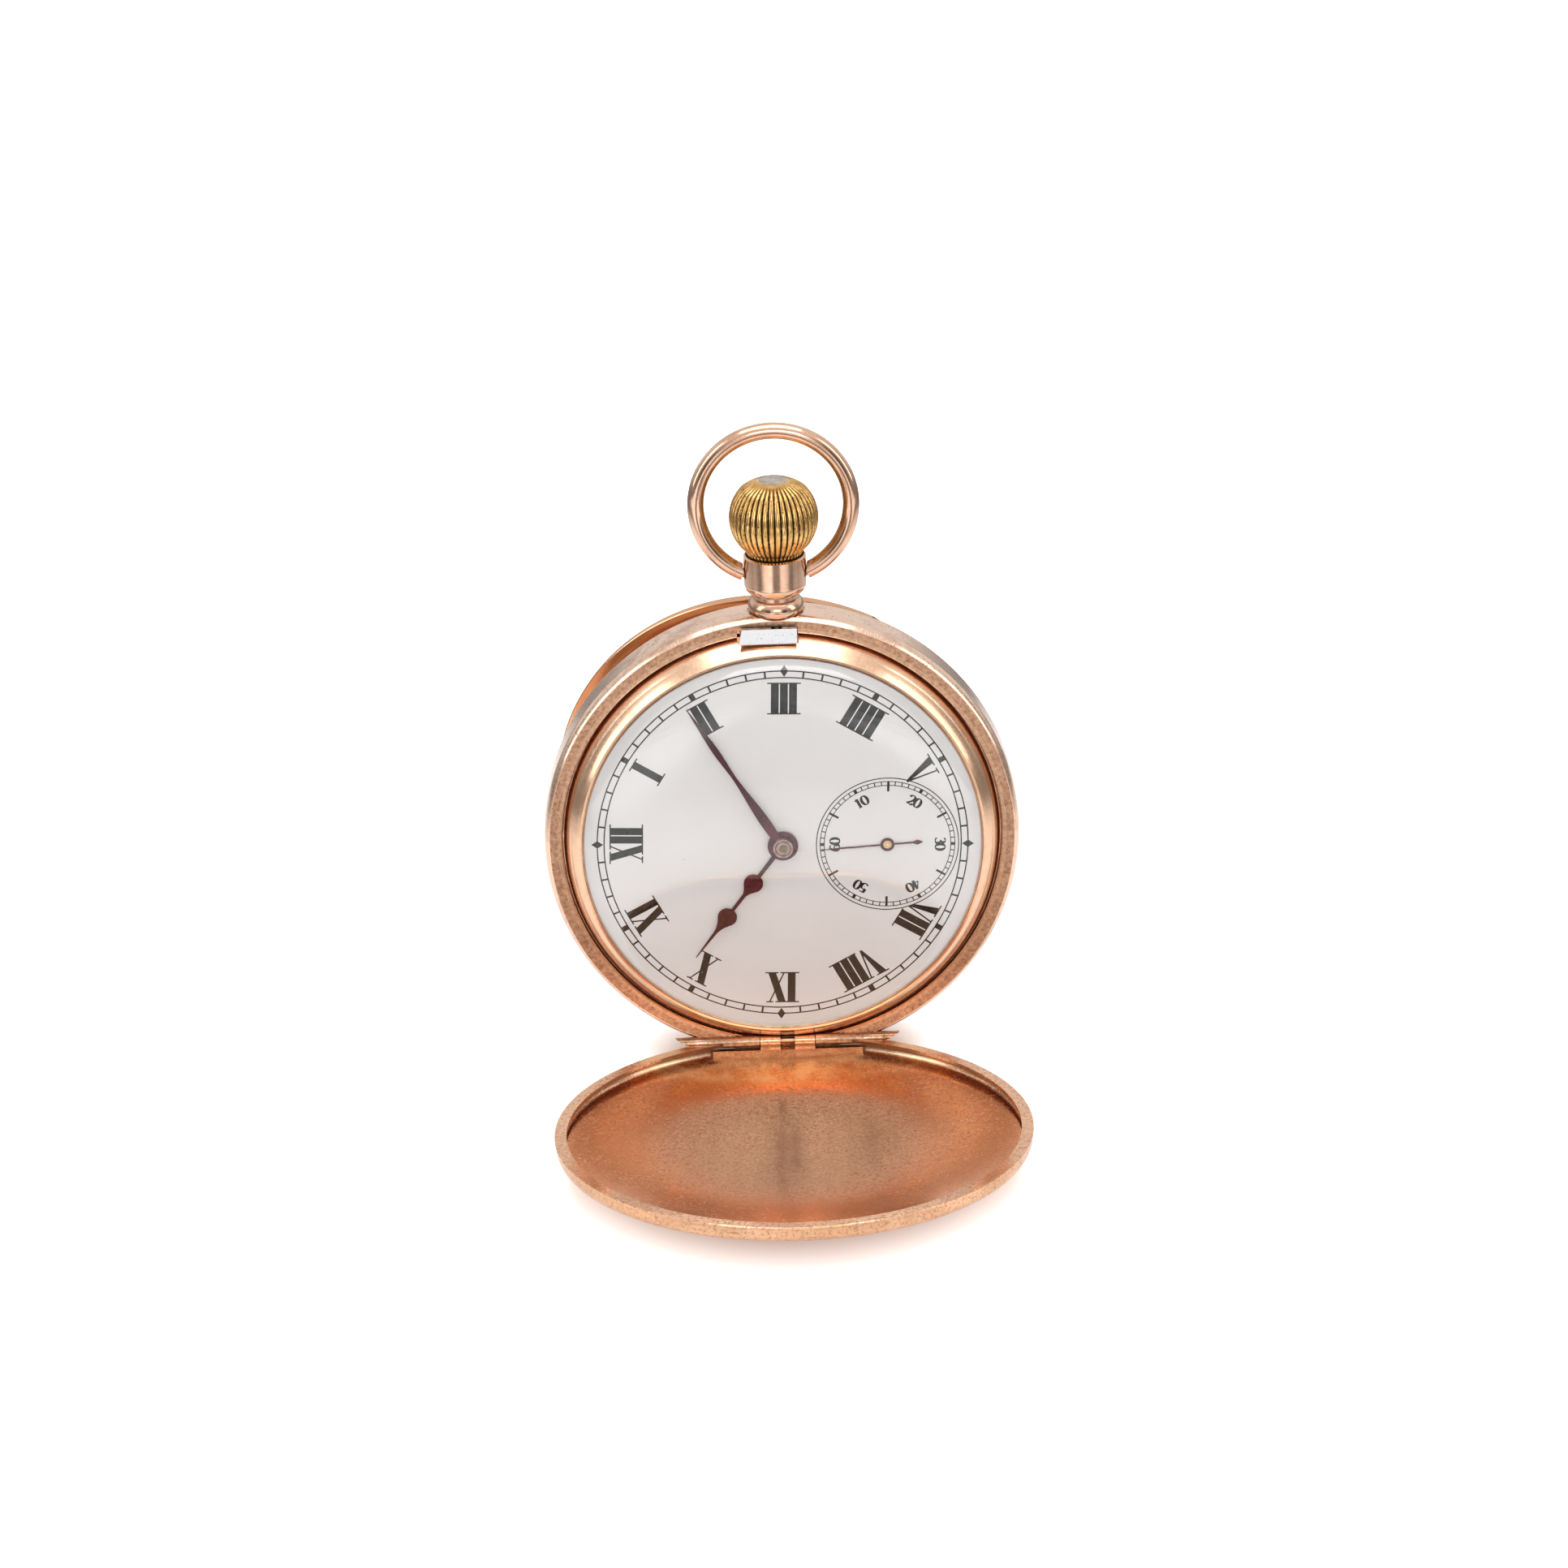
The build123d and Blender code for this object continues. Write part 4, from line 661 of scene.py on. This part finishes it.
def numeral(text, direction):
    """Adds a Roman numeral with its top outwards; sizes are in units of the track's radius."""
    lo, hi = 0.757, 0.930
    widths = {"I": 0.0485, "V": 0.104, "X": 0.108}
    total = sum(widths[c] for c in text) - 0.006
    x = -total / 2
    strokes, serifs = [], []
    for c in text:
        if c == "I":
            strokes.append([(x, lo), (x + 0.042, lo), (x + 0.042, hi), (x, hi)])
            serifs += [(x - 0.006, x + 0.048, hi), (x - 0.006, x + 0.048, lo)]
        elif c == "V":
            strokes.append([(x, hi), (x + 0.044, hi), (x + 0.074, lo), (x + 0.060, lo)])
            strokes.append([(x + 0.089, hi), (x + 0.0975, hi), (x + 0.072, lo), (x + 0.063, lo)])
            serifs += [(x - 0.016, x + 0.060, hi), (x + 0.076, x + 0.112, hi)]
        else:
            strokes.append([(x + 0.004, hi), (x + 0.046, hi), (x + 0.100, lo), (x + 0.058, lo)])
            strokes.append([(x + 0.087, hi), (x + 0.0955, hi), (x + 0.019, lo), (x + 0.0105, lo)])
            serifs += [(x - 0.012, x + 0.060, hi), (x + 0.072, x + 0.110, hi),
                       (x + 0.044, x + 0.116, lo), (x - 0.006, x + 0.034, lo)]
        x += widths[c]
    if text[0] == "I":
        serifs += [(-total / 2 - 0.02, -total / 2 + 0.02, lo), (-total / 2 - 0.02, -total / 2 + 0.02, hi)]
    if text[-1] == "I":
        serifs += [(total / 2 - 0.02, total / 2 + 0.02, lo), (total / 2 - 0.02, total / 2 + 0.02, hi)]
    for s in strokes:
        radial(direction, [(t * TRACK, r * TRACK) for t, r in s])
    for a, b, r in serifs:
        low, high = (r - HAIR / 2) * TRACK, (r + HAIR / 2) * TRACK
        radial(direction, [(a * TRACK, low), (b * TRACK, low), (b * TRACK, high), (a * TRACK, high)])


minute_track()
for text, hour in (("I", 1), ("II", 2), ("III", 3), ("IIII", 4), ("V", 5), ("VIII", 8), ("IX", 9),
                   ("X", 10), ("XI", 11), ("XII", 12)):
    numeral(text, 180 - hour * 30)

SMALL = (0.565 * TRACK, 0.0)    # centre of the small seconds circle
SMALL_R, SMALL_MID, SMALL_IN = 0.384 * TRACK, 0.364 * TRACK, 0.342 * TRACK
EDGE_STEPS = 24                 # points along each edge of the numeral that the small circle cuts


def clipped_numeral(text, direction):
    """Adds a numeral without the part of it that the small seconds circle takes away."""
    first_vert, first_face = len(ink_verts), len(ink_faces)
    numeral(text, direction)
    outlines = []
    for f in ink_faces[first_face:]:
        points = [(ink_verts[i] - dial_axes.o) / MM for i in f]
        outlines.append([(p.dot(dial_axes.x), p.dot(dial_axes.y)) for p in points])
    del ink_verts[first_vert:], ink_faces[first_face:]
    for outline in outlines:
        out = []
        for p, q in zip(outline, outline[1:] + outline[:1]):
            for k in range(EDGE_STEPS):
                x, y = p[0] + (q[0] - p[0]) * k / EDGE_STEPS, p[1] + (q[1] - p[1]) * k / EDGE_STEPS
                d = math.hypot(x - SMALL[0], y - SMALL[1])
                if d < SMALL_R:
                    x, y = SMALL[0] + (x - SMALL[0]) * SMALL_R / d, SMALL[1] + (y - SMALL[1]) * SMALL_R / d
                out.append((x, y))
        put(out)


def small_seconds():
    """Three circles with a mark each second, longer each five and wider each ten."""
    for r, width in ((SMALL_R, 0.105), (SMALL_MID, 0.085), (SMALL_IN, 0.085)):
        ring(r, width, SMALL, 160)
    for i in range(60):
        d = 180 - i * 6
        if i % 10 == 0:
            bar(d, SMALL_IN, SMALL_MID, 0.34, SMALL)
        elif i % 5 == 0:
            bar(d, 0.307 * TRACK, SMALL_MID, 0.24, SMALL)
        else:
            bar(d, SMALL_IN, SMALL_MID, 0.11, SMALL)


clipped_numeral("VII", -30)
small_seconds()

# strokes of the figures, in units of their height, from the middle of the foot
FIGURES = {
    "0": [[(0.28 * math.cos(2 * math.pi * t / 28), 0.5 + 0.46 * math.sin(2 * math.pi * t / 28))
           for t in range(29)]],
    "1": [[(0.02, 0.02), (0.02, 0.98)], [(-0.2, 0.80), (0.02, 0.96)]],
    "2": [[(-0.25, 0.74), (-0.2, 0.88), (-0.02, 0.97), (0.18, 0.90), (0.25, 0.72), (0.16, 0.5), (-0.05, 0.27),
           (-0.28, 0.05)], [(-0.28, 0.05), (-0.05, 0.10), (0.14, 0.03), (0.28, 0.2)]],
    "3": [[(-0.24, 0.86), (-0.05, 0.97), (0.14, 0.92), (0.2, 0.75), (0.1, 0.58), (-0.06, 0.53)],
          [(-0.06, 0.53), (0.16, 0.47), (0.27, 0.27), (0.18, 0.08), (-0.05, 0.02), (-0.27, 0.15)]],
    "4": [[(0.12, 0.02), (0.12, 0.98)], [(0.12, 0.98), (-0.3, 0.3)], [(-0.3, 0.3), (0.34, 0.3)]],
    "5": [[(-0.18, 0.96), (0.24, 0.93)], [(-0.18, 0.96), (-0.22, 0.55)],
          [(-0.22, 0.55), (0.02, 0.62), (0.22, 0.52), (0.28, 0.3), (0.18, 0.1), (-0.04, 0.02),
           (-0.28, 0.14)]],
    "6": [[(0.24, 0.88), (0.04, 0.96), (-0.18, 0.78), (-0.28, 0.4), (-0.2, 0.12), (0.0, 0.03), (0.22, 0.12),
           (0.28, 0.3), (0.2, 0.5), (0.0, 0.56), (-0.24, 0.42)]],
}


def smooth_path(pts, n=5):
    """Catmull-Rom through the points."""
    if len(pts) < 3:
        return pts
    out = []
    p = [pts[0]] + pts + [pts[-1]]
    for i in range(1, len(p) - 2):
        for k in range(n):
            t = k / n
            out.append(tuple(0.5 * ((2 * p[i][c]) + (p[i + 1][c] - p[i - 1][c]) * t
                                    + (2 * p[i - 1][c] - 5 * p[i][c] + 4 * p[i + 1][c] - p[i + 2][c]) * t**2
                                    + (3 * p[i][c] - p[i - 1][c] - 3 * p[i + 1][c] + p[i + 2][c]) * t**3)
                             for c in (0, 1)))
    return out + [pts[-1]]


def figure(char, direction, shift, r0, height):
    """One upright figure with its top outwards: thick where it runs up, thin where it runs across."""
    for stroke in FIGURES[char]:
        line = smooth_path(stroke)
        left, right = [], []
        for i, (x, y) in enumerate(line):
            a, b = line[max(i - 1, 0)], line[min(i + 1, len(line) - 1)]
            dx, dy = b[0] - a[0], b[1] - a[1]
            long = math.hypot(dx, dy) or 1.0
            up = abs(dy) / long
            if char == "4" and stroke is FIGURES["4"][1]:
                up = 0.0
            w = 0.05 + 0.085 * up**2.2
            left.append((x - dy / long * w, y + dx / long * w))
            right.append((x + dy / long * w, y - dx / long * w))
        for i in range(len(line) - 1):
            quad = [left[i], left[i + 1], right[i + 1], right[i]]
            radial(direction, [(shift + x * height, r0 + y * height) for x, y in quad], SMALL)
    if char == "1":
        foot = [(-0.17, 0), (0.21, 0), (0.21, 0.05), (-0.17, 0.05)]
        radial(direction, [(shift + x * height, r0 + y * height) for x, y in foot], SMALL)


FIGURE_R, FIGURE_H = 4.98, 1.12     # radius of the figures' feet, and their height
FIGURE_SHIFT = 0.37                 # half the step from one figure to the next
for k in range(1, 7):
    figure(str(k), 180 - k * 60, -FIGURE_SHIFT, FIGURE_R, FIGURE_H)
    figure("0", 180 - k * 60, FIGURE_SHIFT, FIGURE_R, FIGURE_H)

add_mesh("dial_print", ink_verts, ink_faces, ink, "case", smooth=False)

# ------------------------------------------------------------------ crown with full ribs
BALL_R, CROWN_MID = 4.65, 35.04
CROWN_BASE, CAP_TOP = 30.85, 39.1
CAP_R = 1.45                    # the worn bright cap ends here
RIB_DEPTH = 0.27
ball = [(BALL_R * math.cos(math.radians(a)), CROWN_MID + BALL_R * math.sin(math.radians(a)))
        for a in range(43, -50, -4)]
crown_line = [(0.0, CAP_TOP), (1.3, CAP_TOP), (1.48, 39.06), (1.6, 39.0), (2.0, 38.95), (2.5, 38.76),
              (3.0, 38.47)]
crown_line += ball
crown_line += [(2.97, 31.4), (2.88, 30.95), (2.8, CROWN_BASE), (2.2, CROWN_BASE), (2.2, 31.7), (0.0, 31.7)]


def ribbed(a, r, h):
    """Radius of the crown with its ribs, which fade towards the cap and the foot."""
    if r < 1.7 or h < CROWN_BASE + 0.05 or (r < 2.3 and h < 34):
        return r
    depth = RIB_DEPTH * min(1.0, (r - 1.5) / 1.1) * min(1.0, (h - 30.7) / 0.9)
    return r - depth * (1 - abs(math.cos(a * RIBS / 2))**0.6)


verts, faces = lathe(pendant, crown_line, n=RIBS * 14, closed=False, shape=ribbed)
crown = add_mesh("crown_ribbed", verts, faces, crown_gold, "crown", sharp=60)
crown.data.materials.append(crown_cap)
for p in crown.data.polygons:
    c = p.center - pendant.at(0, 0, CAP_TOP - 0.1)
    if c.length < CAP_R * MM and c.dot(pendant.z) > 0.03 * MM:
        p.material_index = 1
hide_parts("crown")

# ------------------------------------------------------------------ floor, light and camera
FLOOR_SIZE = 6.0
FLOOR_DROP = 0.00002            # keeps the floor clear of what stands on it


def floor_material():
    """White paper that glows softly, with a painted warm contact shadow where the watch meets it, and darker
    where it is mirrored.
    """
    m, nt, bsdf = nodes_of("floor_white")
    bsdf.inputs["Roughness"].default_value = 0.12
    bsdf.inputs["Emission Color"].default_value = (1, 1, 1, 1)
    coord = nt.nodes.new("ShaderNodeTexCoord")
    away = nt.nodes.new("ShaderNodeVectorMath")
    away.operation = "LENGTH"
    nt.links.new(coord.outputs["Object"], away.inputs[0])
    sheet = ramp(nt, away.outputs["Value"], 0.09, 0.17, 0.42, 0.9)
    spot = nt.nodes.new("ShaderNodeSeparateXYZ")
    nt.links.new(coord.outputs["Object"], spot.inputs[0])
    left = between(nt, spot.outputs["X"], -0.35, -0.06, 0.03)
    right = between(nt, spot.outputs["X"], 0.09, 0.25, 0.03)
    lanes = times(nt, math_node(nt, "ADD", left, right), ramp(nt, spot.outputs["Y"], -0.16, -0.10, 0.8, 0))
    sheet = times(nt, sheet, math_node(nt, "SUBTRACT", 1.0, lanes))
    path = nt.nodes.new("ShaderNodeLightPath")
    seen = math_node(nt, "SUBTRACT", 1.0, times(nt, sheet, path.outputs["Is Glossy Ray"]))
    # painted contact shadow: near the watch the glow falls and the colour turns warm
    near = crevice(nt, 0.0055)
    glow = ramp(nt, near, 0.25, 0.95, 0.06, 0.80)
    nt.links.new(times(nt, glow, seen), bsdf.inputs["Emission Strength"])
    tone = mix(nt, ramp(nt, near, 0.45, 0.95), (0.84, 0.60, 0.46), (0.93, 0.93, 0.93))
    nt.links.new(mix(nt, seen, (0, 0, 0), tone), bsdf.inputs["Base Color"])
    nt.links.new(times(nt, seen, 0.5), bsdf.inputs["Specular IOR Level"])
    return m


def add_floor():
    me = bpy.data.meshes.new("floor")
    h = FLOOR_SIZE / 2
    me.from_pydata([(-h, -h, 0), (h, -h, 0), (h, h, 0), (-h, h, 0)], [], [(0, 1, 2, 3)])
    o = bpy.data.objects.new("floor", me)
    bpy.context.scene.collection.objects.link(o)
    o.location = (0, 0, -FLOOR_DROP)
    me.materials.append(floor_material())


def area(name, where, aim, sx, sy, power):
    """A rectangular light at a place, aimed at another."""
    light = bpy.data.lights.new(name, "AREA")
    light.shape, light.size, light.size_y = "RECTANGLE", sx, sy
    light.energy = power
    o = bpy.data.objects.new(name, light)
    bpy.context.scene.collection.objects.link(o)
    o.location = where
    o.rotation_mode = "QUATERNION"
    o.rotation_quaternion = (Vector(aim) - Vector(where)).to_track_quat("-Z", "Y")


def studio_world():
    """A pale tent, dimmer low down at its sides in front of the watch, with a darker flag in each."""
    world = bpy.data.worlds.new("studio")
    bpy.context.scene.world = world
    world.use_nodes = True
    wt = world.node_tree
    coord = wt.nodes.new("ShaderNodeTexCoord")
    split = wt.nodes.new("ShaderNodeSeparateXYZ")
    wt.links.new(coord.outputs["Generated"], split.inputs[0])
    sides = math_node(wt, "ABSOLUTE", split.outputs["X"])
    low = ramp(wt, split.outputs["Z"], 0.25, 0.62, 1.0, 0.0)
    in_front = ramp(wt, split.outputs["Y"], 0.15, 0.55, 1.0, 0.0)
    dim = times(wt, ramp(wt, sides, 0.30, 0.65), low, in_front)
    flag = times(wt, between(wt, sides, 0.42, 0.62, 0.06), low, in_front)
    tent = times(wt, ramp(wt, dim, 0, 1, 0.88, 0.35), ramp(wt, flag, 0, 1, 1.0, 0.15))
    back = wt.nodes["Background"]
    back.inputs["Color"].default_value = (1, 1, 1, 1)
    wt.links.new(tent, back.inputs["Strength"])


def add_camera():
    """The photograph's view; its place and directions are set along the case's axes."""
    data = bpy.data.cameras.new("camera")
    cam = bpy.data.objects.new("camera", data)
    bpy.context.scene.collection.objects.link(cam)
    bpy.context.scene.camera = cam
    data.sensor_width, data.lens = 36.0, 138.657
    data.clip_start, data.clip_end = 0.01, 20
    right = (case_x * 0.99930 + case_y * -0.02376 + case_z * 0.02893).normalized()
    ahead = (case_x * 0.01779 + case_y * -0.37855 + case_z * -0.92541).normalized()
    up = right.cross(ahead).normalized()
    right = ahead.cross(up).normalized()
    turn = Matrix((right, up, -ahead)).transposed().to_4x4()
    cam.matrix_world = Matrix.Translation(case.at(-10.945, 245.905, 584.626)) @ turn


lo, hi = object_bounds()
centre = (lo + hi) / 2
add_floor()
area("light_top", (0.0, 0.02, 0.62), centre, 0.6, 0.4, 1.5)
area("light_left", (-0.55, -0.12, 0.30), centre, 0.22, 0.5, 0.7)
area("light_right", (0.55, -0.12, 0.30), centre, 0.22, 0.5, 0.6)
area("light_front", (0.05, -0.75, 0.40), centre, 0.4, 0.25, 0.85)
studio_world()
add_camera()
bpy.context.scene.view_settings.view_transform = "Standard"
bpy.context.scene.view_settings.look = "None"
